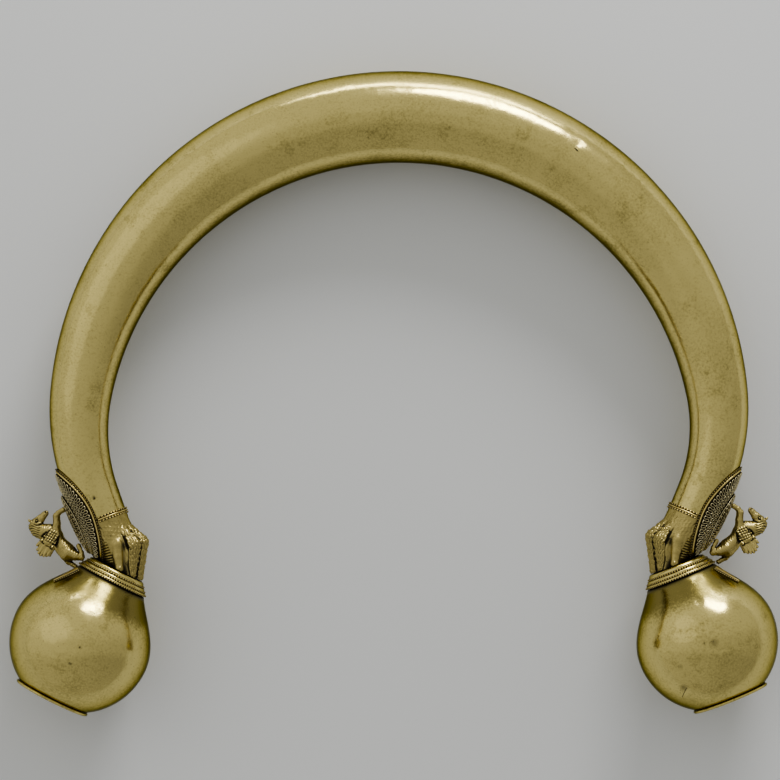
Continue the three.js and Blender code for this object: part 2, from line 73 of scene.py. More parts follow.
# Marks of wear on the front, by their place in the row frame seen from above: x, y, the mark's half-width,
# its depth, the radius of a ring-shaped mark or 0, and how much dirt lies in it.
HOOP_DENTS = [
    (64.0, 86.2, 1.5, 0.2, 0, 0.1),
    (62.6, 91.2, 0.7, 0.12, 0, 0.5),
    (65.9, 85.6, 0.6, 0.1, 0, 0.5),
    (-73.5, 79.8, 2.4, 0.16, 0, 0),
    (-103.8, -36.6, 0.75, 0.2, 0, 1),
    (-9.0, 99.5, 4.0, 0.08, 0, 0),
    (-7.0, 93.6, 0.8, 0.05, 0, 0.4),
    (-6.0, 85.0, 3.5, 0.07, 0, 0.15),
    (-52.0, 92.0, 5.0, 0.09, 0, 0),
    (30.0, 96.0, 5.0, 0.07, 0, 0),
    (-98.0, 49.0, 5.0, 0.1, 0, 0),
    (-112.0, 6.0, 5.0, 0.09, 0, 0.1),
    (93.0, 68.0, 6.0, 0.1, 0, 0),
    (113.5, 2.0, 4.0, 0.08, 0, 0.1),
    (104.5, -61.0, 1.6, 0.08, 0, 0.4),
]
LEFT_GLOBE_DENTS = [
    (-113.5, -85.6, 0.9, 0.07, 4.6, 0.22),
    (-113.5, -85.6, 2.6, 0.05, 0, 0.2),
    (-107.0, -87.0, 0.7, 0.12, 0, 0.7),
    (-110.4, -92.6, 0.8, 0.14, 0, 0.7),
    (-119.5, -99.0, 5.0, 0.12, 0, 0.15),
    (-99.0, -101.0, 4.0, 0.1, 0, 0.1),
    (-104.0, -68.0, 4.0, 0.1, 0, 0.35),
]
RIGHT_GLOBE_DENTS = [
    (109.4, -85.4, 2.6, 0.12, 0, 0.5),
    (111.5, -84.0, 0.8, 0.08, 3.6, 0.3),
    (99.6, -101.4, 2.0, 0.1, 0, 0.5),
    (117.0, -97.0, 5.0, 0.1, 0, 0.1),
    (108.0, -66.0, 4.5, 0.1, 0, 0.3),
    (98.2, -93.8, 1.3, 0.08, 0, 0.45),
    (106.0, -85.6, 0.8, 0.1, 0, 0.6),
    (104.3, -71.7, 1.2, 0.2, 0, 0.1),
]

# Dark slits in the gold's front, each an arc seen from above: x and y of the arc's centre, its radius, the
# slit's half-width, and the lowest and highest y that it reaches.
SLITS = [
    (126.0, -111.5, 27.3, 0.12, -105.2, -101.2),
    (107.5, 124.8, 60.0, 0.3, 83.2, 85.0),
]

# Properties

def length(label, millimetres, description):
    return FloatProperty(
        name=label, description=description, default=millimetres * MM, min=0, precision=5, unit="LENGTH"
    )


def angle(label, degrees, description):
    value = float(np.radians(degrees))
    return FloatProperty(name=label, description=description, default=value, subtype="ANGLE")


def share(label, value, description):
    return FloatProperty(name=label, description=description, default=value, min=0, max=1, subtype="FACTOR")


def ratio(label, value, description):
    return FloatProperty(name=label, description=description, default=value, min=0)


def number(label, value, description):
    return IntProperty(name=label, description=description, default=value, min=1)


def colour(label, value, description):
    return FloatVectorProperty(
        name=label, description=description, default=value, min=0, max=1, size=3, subtype="COLOR"
    )


class HoopSizes(bpy.types.PropertyGroup):
    """The hollow tapered tube."""

    radius: length("Bend radius", 112.3, "Centreline of the round bend")
    sweep: angle("Bend sweep", 82, "Round bend on each side of the crown")
    crown: length("Crown radius", 16.1, "Tube at its thickest point")
    ankle: length("Ankle radius", 8.5, "Tube where a paw begins")
    taper: ratio("Taper", 1.1, "Power of the cosine that the tube slims by")
    leg_taper: ratio("Leg taper", 0.045, "Radius lost for each millimetre down the leg")
    leg_swing: ratio("Leg swing", 0.0087, "How the leg curves in towards the toes")
    steps: number("Steps", 230, "Rings of the mesh along each arm")
    sides: number("Sides", 96, "Points of the mesh round the tube")


class GlobeSizes(bpy.types.PropertyGroup):
    """The pear-shaped globe and the disc that closes it."""

    radius: length("Radius", 24.8, "Widest ring")
    mouth: length("Mouth", 12.6, "Radius at the collar")
    shoulder: length("Shoulder", 23.45, "Mouth to the widest ring")
    base: length("Base", 21, "Widest ring to the end disc")
    base_curve: length("Base curve", 24.9, "Half-height of the ellipse that the lower half follows")
    disc_thickness: length("Disc thickness", 1, "End disc")
    disc_overhang: length("Disc overhang", 0.4, "How far the end disc stands out")
    sides: number("Sides", 200, "Points of the mesh round the globe")
    rim_sides: number("Rim sides", 144, "Points of the mesh round the disc and the collar")


class CollarSizes(bpy.types.PropertyGroup):
    """The cone of mouldings between globe and paw, and the leaves below it."""

    height: length("Height", 4.6, "Globe's mouth to the paw")
    top: length("Top radius", 9.4, "Radius under the paw")
    mouldings: number("Mouldings", 3, "Rounded steps")
    rise: length("Rise", 0.5, "How far a moulding stands off the cone")
    leaf_length: length("Leaf length", 9, "Down the globe's shoulder")
    leaf_width: length("Leaf width", 3.6, "At the collar")
    leaf_angle: angle("Leaf angle", 27, "Round the globe from its outer side")
    leaf_thickness: length("Leaf thickness", 0.5, "Plate of a leaf")


class WireSizes(bpy.types.PropertyGroup):
    """Plain and beaded wires, and the gaps that pieces keep."""

    radius: length("Wire radius", 0.3, "Border, band and collar wires")
    bead_pitch: length("Bead pitch", 0.95, "From one bead to the next")
    loop_radius: length("Loop wire radius", 0.155, "Wire of the filigree loops")
    loop_pitch: length("Loop pitch", 1.6, "From one filigree loop to the next")
    seam: length("Seam", 0.3, "Gap between neighbouring pieces")
    gap: length("Wire gap", 0.15, "Between wires laid side by side")


class PadSizes(bpy.types.PropertyGroup):
    """The filigree pad wrapped on the outer side of the ankle, and the ridge on it."""

    half_length: length("Half length", 17, "Pad, up the arm")
    half_angle: angle("Half angle", 72, "Pad, round the arm")
    rise: length("Rise", 2.6, "How far the pad's middle lies above the ankle")
    thickness: length("Thickness", 0.8, "Pad's sheet")
    ridge_half_length: length("Ridge half length", 11, "Ridge, up the arm")
    ridge_half_angle: angle("Ridge half angle", 34, "Ridge, round the arm")
    ridge_rise: length("Ridge rise", 1.5, "How far the ridge's middle lies above the ankle")
    ridge_height: length("Ridge height", 1, "Ridge at its middle")
    ridge_edge: share("Ridge edge", 0.35, "Its height along the edge, as a share")


class PawSizes(bpy.types.PropertyGroup):
    """The lion's paw."""

    pad_bed: ratio("Pad bed", 0.014, "How much faster than its bed under the pad the leg slims")
    knuckle_drop: length("Knuckle drop", 12.4, "Ankle to the knuckles")
    knuckle_circle: length("Knuckle circle", 8.2, "Knuckles from the leg's middle")
    toe: length("Toe radius", 3.2, "At the knuckle")
    toe_tip: length("Toe tip radius", 2, "At the sole")
    claw: share("Side claw", 0.72, "A side claw's thickness, as a share of a toe's")
    fur: length("Fur depth", 0.42, "Depth of the cut strands")
    grain: length("Mesh step", 0.21, "Size of the mesh's faces")


class HorseSizes(bpy.types.PropertyGroup):
    """The winged horse."""

    height: length("Height", 19.6, "Hind hoof to poll; it scales the whole figure")
    grain: length("Mesh step", 0.165, "Size of the mesh's faces")


class GoldLook(bpy.types.PropertyGroup):
    """Colours and polish of the gold."""

    sheet: colour("Sheet gold", (0.77, 0.655, 0.265), "Hoop, globes, discs and collars")
    wire: colour("Wire gold", (0.82, 0.67, 0.28), "Wires, beads and leaves")
    cast: colour("Cast gold", (0.54, 0.445, 0.18), "Paws and horses")
    filigree: colour("Filigree gold", (0.78, 0.7, 0.45), "Loops and rings on the pads")
    # This brown is also the colour of the painted shade on the sides.
    tarnish_and_shade: colour("Tarnish", (0.27, 0.225, 0.075), "Brown blotches")
    edge: colour("Edge tint", (0.3, 0.3, 0.22), "What is left of the gloss where the metal turns away")
    # The dirt colour is also the painted shade in the figures' hollows and on the pads' ground.
    dirt: colour("Dirt", (0.022, 0.017, 0.01), "What fills the recesses")
    polish: share("Roughness", 0.155, "Of the clean sheet gold")


class StageLook(bpy.types.PropertyGroup):
    """Floor, light and camera."""

    floor: colour("Floor", (0.88, 0.89, 0.91), "Plain pale floor")
    room: share("Room light", 0.36, "Even light from all round")
    key: ratio("Key light", 3.9, "Watts of the soft light beyond the crown")
    rim: ratio("Rim light", 1.5, "Watts of the low strip light beyond the crown")
    top: ratio("Top light", 0.32, "Watts of the big soft light up on the left")
    exposure: FloatProperty(name="Exposure", description="Of the picture, in stops", default=-0.08)
    lens: FloatProperty(name="Lens", description="Focal length", default=150, unit="CAMERA")
    width: length("View width", 273, "What the picture takes in at the torc's middle height")


GROUPS = {
    "hoop": HoopSizes,
    "globe": GlobeSizes,
    "collar": CollarSizes,
    "wires": WireSizes,
    "pad": PadSizes,
    "paw": PawSizes,
    "horse": HorseSizes,
    "gold": GoldLook,
    "stage": StageLook,
}


class TorcSettings(bpy.types.PropertyGroup):
    """Everything that can be changed on the torc."""

    __annotations__ = {name: PointerProperty(type=group) for name, group in GROUPS.items()}


def sizes(name):
    """One group of settings, with its lengths in millimetres and its angles in radians."""
    group = getattr(bpy.context.scene.torc, name)
    found = {}
    for prop in group.bl_rna.properties:
        if prop.identifier in ("rna_type", "name"):
            continue
        value = getattr(group, prop.identifier)
        if prop.type == "FLOAT" and prop.unit == "LENGTH":
            value = value / MM
        found[prop.identifier] = value
    return SimpleNamespace(**found)


# Meshes

class Shell:
    """A closed part of a piece: points in millimetres, how recessed each is, how stained and painted with
    shade each is, and faces.
    """

    def __init__(self, points, quads, tris=None, recess=0.0, finish=0):
        self.points = np.asarray(points, float)
        self.quads = np.asarray(quads, int).reshape(-1, 4)
        self.tris = np.zeros((0, 3), int) if tris is None else np.asarray(tris, int).reshape(-1, 3)
        self.recess = np.broadcast_to(recess, len(self.points)).astype(float)
        self.stain = np.zeros(len(self.points))
        self.finish = finish

    def faces_out(self, points):
        """The faces with their corners in the order that points them outwards, for points in place."""
        halves = [self.quads[:, [0, 1, 2]], self.quads[:, [0, 2, 3]], self.tris]
        a, b, c = (points[np.concatenate(halves)][:, k] for k in range(3))
        volume = np.einsum("ij,ij->", a, np.cross(b, c))
        turn = -1 if volume < 0 else 1
        return [self.quads[:, ::turn], self.tris[:, ::turn]]


def woven(rings, loop=False, recess=0.0, finish=0):
    """A shell over rings of points, of shape (rings, sides, 3). A loop of rings has no ends."""
    count, sides = rings.shape[:2]
    index = np.arange(count * sides).reshape(count, sides)
    low = index if loop else index[:-1]
    high = np.roll(index, -1, axis=0) if loop else index[1:]
    quads = np.stack([low, np.roll(low, -1, axis=1), np.roll(high, -1, axis=1), high], -1)
    points = rings.reshape(-1, 3)
    recess = np.broadcast_to(recess, (count, sides)).reshape(-1)
    if loop:
        return Shell(points, quads, recess=recess, finish=finish)
    hubs = rings[[0, -1]].mean(axis=1)
    tris = []
    for hub, ring, step in ((0, index[0], -1), (1, index[-1], 1)):
        near = ring[::step]
        far = np.roll(near, -1)
        tris.append(np.stack([near, far, np.full(sides, count * sides + hub)], -1))
    ends = [recess[index[0]].mean(), recess[index[-1]].mean()]
    return Shell(np.vstack([points, hubs]), quads, np.concatenate(tris), np.append(recess, ends), finish)


def make_piece(node, shells, place, slot):
    """Adds a piece to the scene in the row frame, and says what it rides on and which solid it replaces."""
    name = f"gold_{node}"
    points, faces, finish = [], [], []
    first = 0
    for shell in shells:
        placed = place(shell.points)
        for group in shell.faces_out(placed):
            faces += (group + first).tolist()
            finish += [shell.finish] * len(group)
        points.append(placed)
        first += len(placed)
    points = np.clip(np.concatenate(points), *(np.array(CAD_BOX) / MM))
    mesh = bpy.data.meshes.new(name)
    mesh.from_pydata((points * MM).tolist(), [], faces)
    mesh.polygons.foreach_set("use_smooth", np.ones(len(faces), bool))
    mesh.polygons.foreach_set("material_index", np.array(finish, np.int32))
    for key in ("recess", "stain"):
        values = np.concatenate([getattr(shell, key) for shell in shells])
        mesh.attributes.new(key, "FLOAT", "POINT").data.foreach_set("value", values.astype(np.float32))
    for made in SLOT_FINISHES[slot]:
        mesh.materials.append(gold(made))
    mesh.update()
    piece = linked(name, mesh)
    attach(piece, "root")
    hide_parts(node)


def linked(name, data):
    """A new object in the scene."""
    made = bpy.data.objects.new(name, data)
    bpy.context.scene.collection.objects.link(made)
    return made


def spaced(route, step, loop=False):
    """Rows at an even spacing along a route; a row is a point and whatever else belongs to it."""
    line = np.vstack([route, route[:1]]) if loop else route
    reach = reach_along(line)
    count = max(3, round(reach[-1] / step))
    stops = np.linspace(0, reach[-1], count + 1)
    if loop:
        stops = stops[:-1]
    return np.stack([np.interp(stops, reach, line[:, k]) for k in range(line.shape[1])], -1)


def reach_along(line):
    """Distance along a line at each of its points."""
    return np.append(0, np.cumsum(np.linalg.norm(np.diff(line[:, :3], axis=0), axis=1)))


def unit(vectors):
    """Vectors brought to a length of 1."""
    return vectors / np.linalg.norm(vectors, axis=-1, keepdims=True)


def between(value, low, lowest, highest, high):
    """1 from lowest to highest and 0 outside low and high, with soft steps."""
    return smooth(value, low, lowest) * smooth(-value, -high, -highest)


def smooth(value, low, high):
    """0 below low and 1 above high, with a soft step between."""
    part = np.clip((value - low) / (high - low), 0, 1)
    return part * part * (3 - 2 * part)


def circle(count):
    """Angles at an even spacing round a circle."""
    return 2 * np.pi * np.arange(count) / count


def wire(route, outward, radius, loop=False, sides=8, recess=0.0):
    """A round wire along a route. Its radius may change along it."""
    if loop:
        tangent = np.roll(route, -1, axis=0) - np.roll(route, 1, axis=0)
    else:
        tangent = np.gradient(route, axis=0)
    aside = unit(np.cross(tangent, outward))
    outward = unit(np.cross(aside, tangent))
    turns = circle(sides)
    radius = np.broadcast_to(radius, len(route))[:, None, None]
    spokes = outward[:, None] * np.cos(turns)[:, None] + aside[:, None] * np.sin(turns)[:, None]
    recess = np.broadcast_to(recess, len(route))[:, None]
    return woven(route[:, None] + radius * spokes, loop, recess)


BEAD_STEPS = 8
BEAD_ROUNDNESS = 0.96


def beaded_wire(route, outward, wires, dirt, loop=False):
    """A wire rolled into beads, dirty between them."""
    whole = np.hstack([route, outward])
    line = np.vstack([whole, whole[:1]]) if loop else whole
    reach = reach_along(line)[-1]
    beads = round(reach / wires.bead_pitch)
    rows = spaced(whole, reach / (beads * BEAD_STEPS), loop)
    off_middle = 2 * (((np.arange(len(rows)) + 0.5) / BEAD_STEPS) % 1) - 1
    radius = wires.radius * np.sqrt(1 - (BEAD_ROUNDNESS * off_middle) ** 2)
    recess = np.clip(dirt + off_middle**2, 0, 1)
    return wire(rows[:, :3], rows[:, 3:], radius, loop, recess=recess)


def lathe(profile, sides, recess=0.0):
    """A turned shell about the y axis, from a profile of radius and height that starts and ends on it."""
    turns = circle(sides)
    body = profile[1:-1]
    radius, height = body[:, :1], np.repeat(body[:, 1:], sides, 1)
    rings = np.stack([radius * np.cos(turns), height, radius * np.sin(turns)], -1)
    shell = woven(rings, recess=np.broadcast_to(recess, len(body))[:, None])
    shell.points[-2] = (0, profile[0, 1], 0)
    shell.points[-1] = (0, profile[-1, 1], 0)
    return shell


# The torc's frames

def turned(points, turn):
    """Points turned about the z axis."""
    c, s = np.cos(turn), np.sin(turn)
    x, y, z = np.moveaxis(np.asarray(points, float), -1, 0)
    return np.stack([c * x - s * y, s * x + c * y, z], -1)


class Arm:
    """One arm of the torc. Its own frame has x out and y up from the hoop's centre, as on the right arm."""

    def __init__(self, name):
        self.name = name
        vars(self).update(ARMS[name])
        self.hoop = sizes("hoop")
        self.globe = sizes("globe")
        self.collar = sizes("collar")
        self.wires = sizes("wires")
        self.heading = np.radians(self.heading)
        self.lean = np.radians(self.lean)
        self.last = np.pi / 2 + self.heading
        self.swept = self.hoop.sweep * self.hoop.radius
        self.length = self.swept + (self.last - self.hoop.sweep) * self.bend + self.straight
        self.mouth = np.array([self.hoop.ankle - self.inset, -self.drop, 0])
        self.foot_up = np.array([-np.sin(self.lean), np.cos(self.lean), 0])
        self.inward = np.array([-np.cos(self.lean), -np.sin(self.lean), 0])
        self.sole = self.mouth + self.foot_up * self.collar.height

    def section(self, distance):
        """The tube's centre, the way out of the hoop and the radius, at distances down from the ankle."""
        hoop = self.hoop
        distance = np.asarray(distance, float)
        from_crown = self.length + distance
        first = from_crown < self.swept
        second_turn = hoop.sweep + (from_crown - self.swept) / self.bend
        turn = np.minimum(np.where(first, from_crown / hoop.radius, second_turn), self.last)
        bend = np.where(first, hoop.radius, self.bend)
        inset = hoop.radius - bend
        out = np.stack([np.sin(turn), np.cos(turn), np.zeros_like(turn)], -1)
        start = np.array([np.sin(hoop.sweep), np.cos(hoop.sweep), 0])
        down = np.array([np.cos(self.last), -np.sin(self.last), 0])
        centre = inset[..., None] * start + bend[..., None] * out
        centre = centre + np.maximum(distance + self.straight, 0)[..., None] * down
        leg = np.maximum(distance, 0)
        centre = centre - (hoop.leg_swing * leg**2)[..., None] * out
        part = np.clip(from_crown / self.length, -1, 1)
        swell = (hoop.crown - hoop.ankle) * np.cos(np.pi / 2 * part) ** hoop.taper
        radius = np.where(distance > 0, hoop.ankle - hoop.leg_taper * leg, hoop.ankle + swell)
        return centre, out, radius

    def over(self, distance, turn, height):
        """Points over the arm's surface and the way off it, turned from its outermost line to the front."""
        distance, turn, height = np.broadcast_arrays(distance, turn, height)
        centre, out, radius = self.section(distance)
        off = out * np.cos(turn)[..., None] + np.array([0, 0, 1]) * np.sin(turn)[..., None]
        return centre + off * (radius + height)[..., None], off

    def from_leg(self, points):
        """From the leg's frame, x out and y up from the ankle, to the arm's."""
        return turned(points, -self.heading) + self.section(0.0)[0]

    def to_leg(self, points):
        """From the arm's frame to the leg's."""
        return turned(points - self.section(0.0)[0], self.heading)

    def from_foot(self, points):
        """From the foot's frame, y up the globe's axis from its mouth, to the arm's."""
        return self.from_leg(turned(points, self.lean) + self.mouth)

    def above_sole(self, leg_points):
        """How far points of the leg's frame lie above the plane that the paw stands on."""
        return (leg_points - self.sole) @ self.foot_up - self.wires.seam

    def at_sole(self, across, rise, aside=0.0):
        """A point of the leg's frame, from the sole's middle: across to the inner side, up and aside."""
        return self.sole + self.inward * across + self.foot_up * rise + np.array([0, 0, aside])

    def to_row(self, points):
        """From the arm's frame to the row frame."""
        return TORC.lay_down(points * np.array([self.side, 1, 1]))


class LyingTorc:
    """How the torc lies on its back: its lean towards the crown and the place of the hoop's centre."""

    def __init__(self):
        hoop, globe = sizes("hoop"), sizes("globe")
        middles = [arm.from_foot(np.array([0, -globe.shoulder, 0]))[1] for arm in map(Arm, ARMS)]
        self.lean = np.arcsin((globe.radius - hoop.crown) / (hoop.radius - np.mean(middles)))
        self.shift = np.zeros(3)
        # The hoop's furthest corner is on its first ring past the crown, half a seam along the right arm.
        past = sizes("wires").seam / 2 / hoop.radius
        reach = hoop.radius + hoop.crown
        corner = self.lay_down(np.array([-reach * np.sin(past), reach * np.cos(past), 0]))
        corners = np.array([vertex.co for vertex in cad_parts["hoop"].data.vertices]) / MM
        self.shift = corners[np.argmax(corners[:, 1])] - corner

    def lay_down(self, points):
        """From the hoop's own plane to the row frame."""
        c, s = np.cos(self.lean), np.sin(self.lean)
        x, y, z = np.moveaxis(np.asarray(points, float), -1, 0)
        return np.stack([x, c * y + s * z, c * z - s * y], -1) + self.shift


TORC = None


def lying_torc():
    """Works out how the torc lies, once the settings are there."""
    global TORC
    TORC = LyingTorc()


def dented(points, dents):
    """How deep the marks press into the front, at points of the row frame, and the dirt in them."""
    depth = np.zeros(len(points))
    dirt = np.zeros(len(points))
    front = points[:, 2] > np.median(points[:, 2])
    for x, y, width, deep, ring, dirt_and_shade in dents:
        away = np.hypot(points[:, 0] - x, points[:, 1] - y)
        near = np.exp(-(((away - ring) / width) ** 2)) * front
        depth += deep * near
        dirt = np.maximum(dirt, dirt_and_shade * near)
    return depth, dirt


# How dark the painted shade on the sides of the hoop and globes goes.
PAINTED_SIDE_SHADE = 0.85
# How strong the tarnishing and painted shade on the globes' shoulders, and the dirt and painted shade at
# their mouths, are.
NECK_TARNISH_AND_SHADE = 1.1
NECK_DIRT_AND_SHADE = 0.7


def painted_side_shade(upward):
    """Painted shade on the sides: the metal darkened by how far the surface faces up."""
    return PAINTED_SIDE_SHADE * (1 - smooth(upward, -0.05, 0.62)) * (1 - 0.45 * smooth(-upward, 0, 0.7))


# Shaders

class Reading:
    """A number or colour in a shader. Arithmetic on it adds Math nodes."""

    def __init__(self, finish, socket):
        self.finish = finish
        self.socket = socket

    def math(self, operation, *values):
        """The result of a Math node."""
        return self.finish.node("ShaderNodeMath", {"operation": operation}, dict(enumerate(values)))

    def __add__(self, other):
        return self.math("ADD", self, other)

    __radd__ = __add__

    def __sub__(self, other):
        return self.math("SUBTRACT", self, other)

    def __rsub__(self, other):
        return self.math("SUBTRACT", other, self)

    def __mul__(self, other):
        return self.math("MULTIPLY", self, other)

    __rmul__ = __mul__

    def over(self, low, high):
        """0 below low, 1 above high, and smooth between them."""
        settings = {"interpolation_type": "SMOOTHSTEP"}
        sockets = {"Value": self, "From Min": low, "From Max": high}
        return self.finish.node("ShaderNodeMapRange", settings, sockets)


class Finish:
    """The nodes of a material or a world."""

    def __init__(self, owner):
        self.owner = owner
        owner.use_nodes = True
        self.tree = owner.node_tree
        self.tree.nodes.clear()

    def node(self, kind, settings=None, sockets=None, output=0):
        """Adds a node: its settings are made first, then its sockets get values or links."""
        made = self.tree.nodes.new(kind)
        for key, value in (settings or {}).items():
            setattr(made, key, value)
        for key, value in (sockets or {}).items():
            if isinstance(value, Reading):
                self.tree.links.new(value.socket, made.inputs[key])
            else:
                made.inputs[key].default_value = value
        return Reading(self, made.outputs[output]) if made.outputs else None

    def noise(self, place, scale, detail, roughness):
        """Soft noise about 0.5."""
        sockets = {"Vector": place, "Scale": scale, "Detail": detail, "Roughness": roughness}
        return self.node("ShaderNodeTexNoise", {}, sockets)

    def stretched(self, place, amounts):
        """A place with each of its parts multiplied."""
        return self.node("ShaderNodeVectorMath", {"operation": "MULTIPLY"}, {0: place, 1: amounts})

    def mix(self, amount, low, high):
        """A colour between two, each a Reading or a colour."""
        sockets = {0: amount, 6: rgba(low), 7: rgba(high)}
        return self.node("ShaderNodeMix", {"data_type": "RGBA"}, sockets, output=2)

    def part(self, vector, axis):
        """One of a vector's three parts."""
        return self.node("ShaderNodeSeparateXYZ", {}, {0: vector}, output=axis)

    def slits(self, place):
        """1 in the slits of the front and 0 elsewhere."""
        up = self.part(place, "Y")
        front = self.part(place, "Z").over(0.02, 0.021)
        flat = self.stretched(place, (1, 1, 0))
        found = 0
        for x, y, radius, half_width, low, high in SLITS:
            sockets = {0: flat, 1: (x * MM, y * MM, 0)}
            away = self.node("ShaderNodeVectorMath", {"operation": "DISTANCE"}, sockets, output=1)
            past = away - radius * MM
            off = past.math("ABSOLUTE", past)
            near = 1 - off.over(half_width * MM * 0.4, half_width * MM * 1.3)
            ends = up.over(low * MM, (low + 0.5) * MM) * (1 - up.over((high - 0.5) * MM, high * MM))
            found = near * ends * front + found
        return found


def rgba(value):
    """A colour with full alpha; a Reading stays as it is."""
    return value if isinstance(value, Reading) else (*value, 1)


# Each finish: its colour's setting, its mottling, specks and scratches, and how much rougher it is than
# the clean sheet gold. The pads' ground is nearly black: dirt and painted shade between the filigree wires.
FINISHES = {
    "aged_sheet_gold": ("sheet", 0.6, 0.4, 0.18, 0),
    "aged_wire_gold": ("wire", 0.35, 0.3, 0.2, 0.12),
    "aged_cast_gold": ("cast", 0.5, 0.6, 0.3, 0.14),
    "aged_loop_gold": ("filigree", 0.5, 0.4, 0.2, 0.14),
    "dark_pad_ground": ("tarnish_and_shade", 0.9, 1.0, 0.2, 0.345),
}

# The finishes of a piece, by its slot.
SLOT_FINISHES = {
    "sheet_gold": ["aged_sheet_gold"],
    "wire_gold": ["aged_wire_gold"],
    "cast_gold": ["aged_cast_gold"],
    "filigree_gold": ["aged_loop_gold", "dark_pad_ground"],
}


def gold(name):
    """Old gold: soft mottling, brown tarnishing, painted shade on the sides, fine pits and scratches, and
    dirt and painted shade in what is recessed.
    """
    if name in bpy.data.materials:
        return bpy.data.materials[name]
    look = sizes("gold")
    setting, mottle, speckle, scratches, rougher = FINISHES[name]
    clean, polish = getattr(look, setting), look.polish + rougher
    finish = Finish(bpy.data.materials.new(name))
    place = finish.node("ShaderNodeTexCoord", output="Object")
    recess = finish.node("ShaderNodeAttribute", {"attribute_name": "recess"}, output="Fac")
    side_shade_and_tarnish = finish.node("ShaderNodeAttribute", {"attribute_name": "stain"}, output="Fac")

    cloud = finish.noise(place, 42, 5, 0.66)
    blotch = finish.noise(place, 120, 5, 0.7).over(0.53, 0.68)
    pits = finish.noise(place, 1150, 2, 0.5).over(0.63, 0.72)
    dust = finish.noise(place, 1300, 3, 0.7)
    streaks = [
        finish.noise(finish.stretched(place, amounts), 1.0, 3, 0.6).over(0.6, 0.7)
        for amounts in ((60, 1900, 300), (1700, 90, 300), (900, -1300, 60))
    ]
    scratch = (streaks[0] + streaks[1] + streaks[2]) * scratches

    stain = blotch * 0.4 * mottle + (cloud - 0.34) * mottle * 1.7 + (dust - 0.5) * mottle * 2.2
    # The dirt colour covers dirt in dents, slits, pits and grooves, and painted shade in the figures'
    # hollows and on the pads' ground.
    dirt_and_shade = (recess.over(0.06, 0.9) + pits * speckle * 0.7 + finish.slits(place)).over(0, 1)
    # Random stains, painted shade on the sides, and tarnishing and painted shade at the globes' necks pull
    # the colour towards brown.
    worn_and_shaded = finish.mix((stain + side_shade_and_tarnish).over(0, 1), clean, look.tarnish_and_shade)
    base = finish.mix(dirt_and_shade, worn_and_shaded, look.dirt)
    rough = polish + (cloud - 0.5) * 0.2 + scratch * 0.1 + blotch * 0.08
    rough = rough + dirt_and_shade * 0.35 + (dust - 0.5) * 0.12
    waves = finish.noise(place, 130, 2, 0.5)
    relief = waves * 0.9 + dust * 0.07 - pits * speckle * 0.06 - scratch * 0.03
    bump = finish.node("ShaderNodeBump", {}, {"Height": relief, "Strength": 0.5, "Distance": 0.0004})
    surface = finish.node(
        "ShaderNodeBsdfPrincipled",
        {},
        {
            "Base Color": base,
            "Metallic": 1 - dirt_and_shade * 0.75,
            "Roughness": rough,
            "Specular Tint": rgba(look.edge),
            "Normal": bump,
        },
    )
    finish.node("ShaderNodeOutputMaterial", {}, {"Surface": surface})
    return finish.owner


# Hoop and globes

def hoop_shell():
    """The tube from one ankle over the crown to the other, with its dents."""
    hoop, seam = sizes("hoop"), sizes("wires").seam
    turns = circle(hoop.sides)

    def rings(arm, distance, dents):
        points, _ = arm.over(distance[:, None], turns[None, :], -dents)
        return points * np.array([arm.side, 1, 1])

    left, right = Arm("left"), Arm("right")
    down = np.linspace(-1, 0, hoop.steps + 1)
    routes = [(left, (down * left.length)[:0:-1] - seam / 2), (right, down * right.length - seam / 2)]
    halves, wear = [], []
    for arm, distance in routes:
        plain = rings(arm, distance, 0.0)
        flat = TORC.lay_down(plain).reshape(-1, 3)
        depth, worn_and_shaded = dented(flat, HOOP_DENTS)
        halves.append(rings(arm, distance, depth.reshape(plain.shape[:2])))
        wear.append(worn_and_shaded.reshape(plain.shape[:2]))
    tube = woven(np.concatenate(halves), recess=np.concatenate(wear))
    # The tube's sides get painted shade, darker the less they face up.
    around = np.tile(painted_side_shade(np.sin(turns)), len(tube.points) // hoop.sides)
    tube.stain[: len(around)] = around
    return tube


def globe_profile(globe, steps):
    """Radius and height of the globe's outline, from its base to its mouth."""
    t = np.linspace(0, 1, steps)[:, None]
    posts = np.array(
        [
            (globe.mouth, 0),
            (globe.mouth * 1.3, -globe.shoulder * 0.27),
            (globe.radius, -globe.shoulder * 0.55),
            (globe.radius, -globe.shoulder),
        ]
    )
    weights = np.hstack([(1 - t) ** 3, 3 * t * (1 - t) ** 2, 3 * t**2 * (1 - t), t**3])
    upper = weights @ posts
    below = np.arcsin(globe.base / globe.base_curve) * np.linspace(0, 1, steps)[1:]
    lower = np.stack([globe.radius * np.cos(below), -globe.shoulder - globe.base_curve * np.sin(below)], -1)
    return np.vstack([(0, -globe.shoulder - globe.base), lower[::-1], upper[::-1], (0, 0)])


def globe_shell(arm, dents):
    """The globe with its dents, painted shade on its sides, tarnishing and painted shade towards the neck,
    and dirt and painted shade at the collar.
    """
    globe = arm.globe
    shell = lathe(globe_profile(globe, 80), globe.sides)
    placed = arm.to_row(arm.from_foot(shell.points))
    depth, wear = dented(placed, dents)
    middle = np.array([0, -globe.shoulder, 0])
    way = unit(shell.points - middle)
    shell.points -= way * depth[:, None]
    up = shell.points[:, 1]
    # Dirt and painted shade at the mouth; painted shade on the sides, and tarnishing and painted shade up
    # the shoulder.
    shell.recess = np.maximum(wear, NECK_DIRT_AND_SHADE * np.exp(np.minimum(up, 0) / 1.6))
    shell.stain = np.maximum(painted_side_shade(way[:, 2] + 0.12), NECK_TARNISH_AND_SHADE * smooth(up, -12.5, -3.0))
    return shell


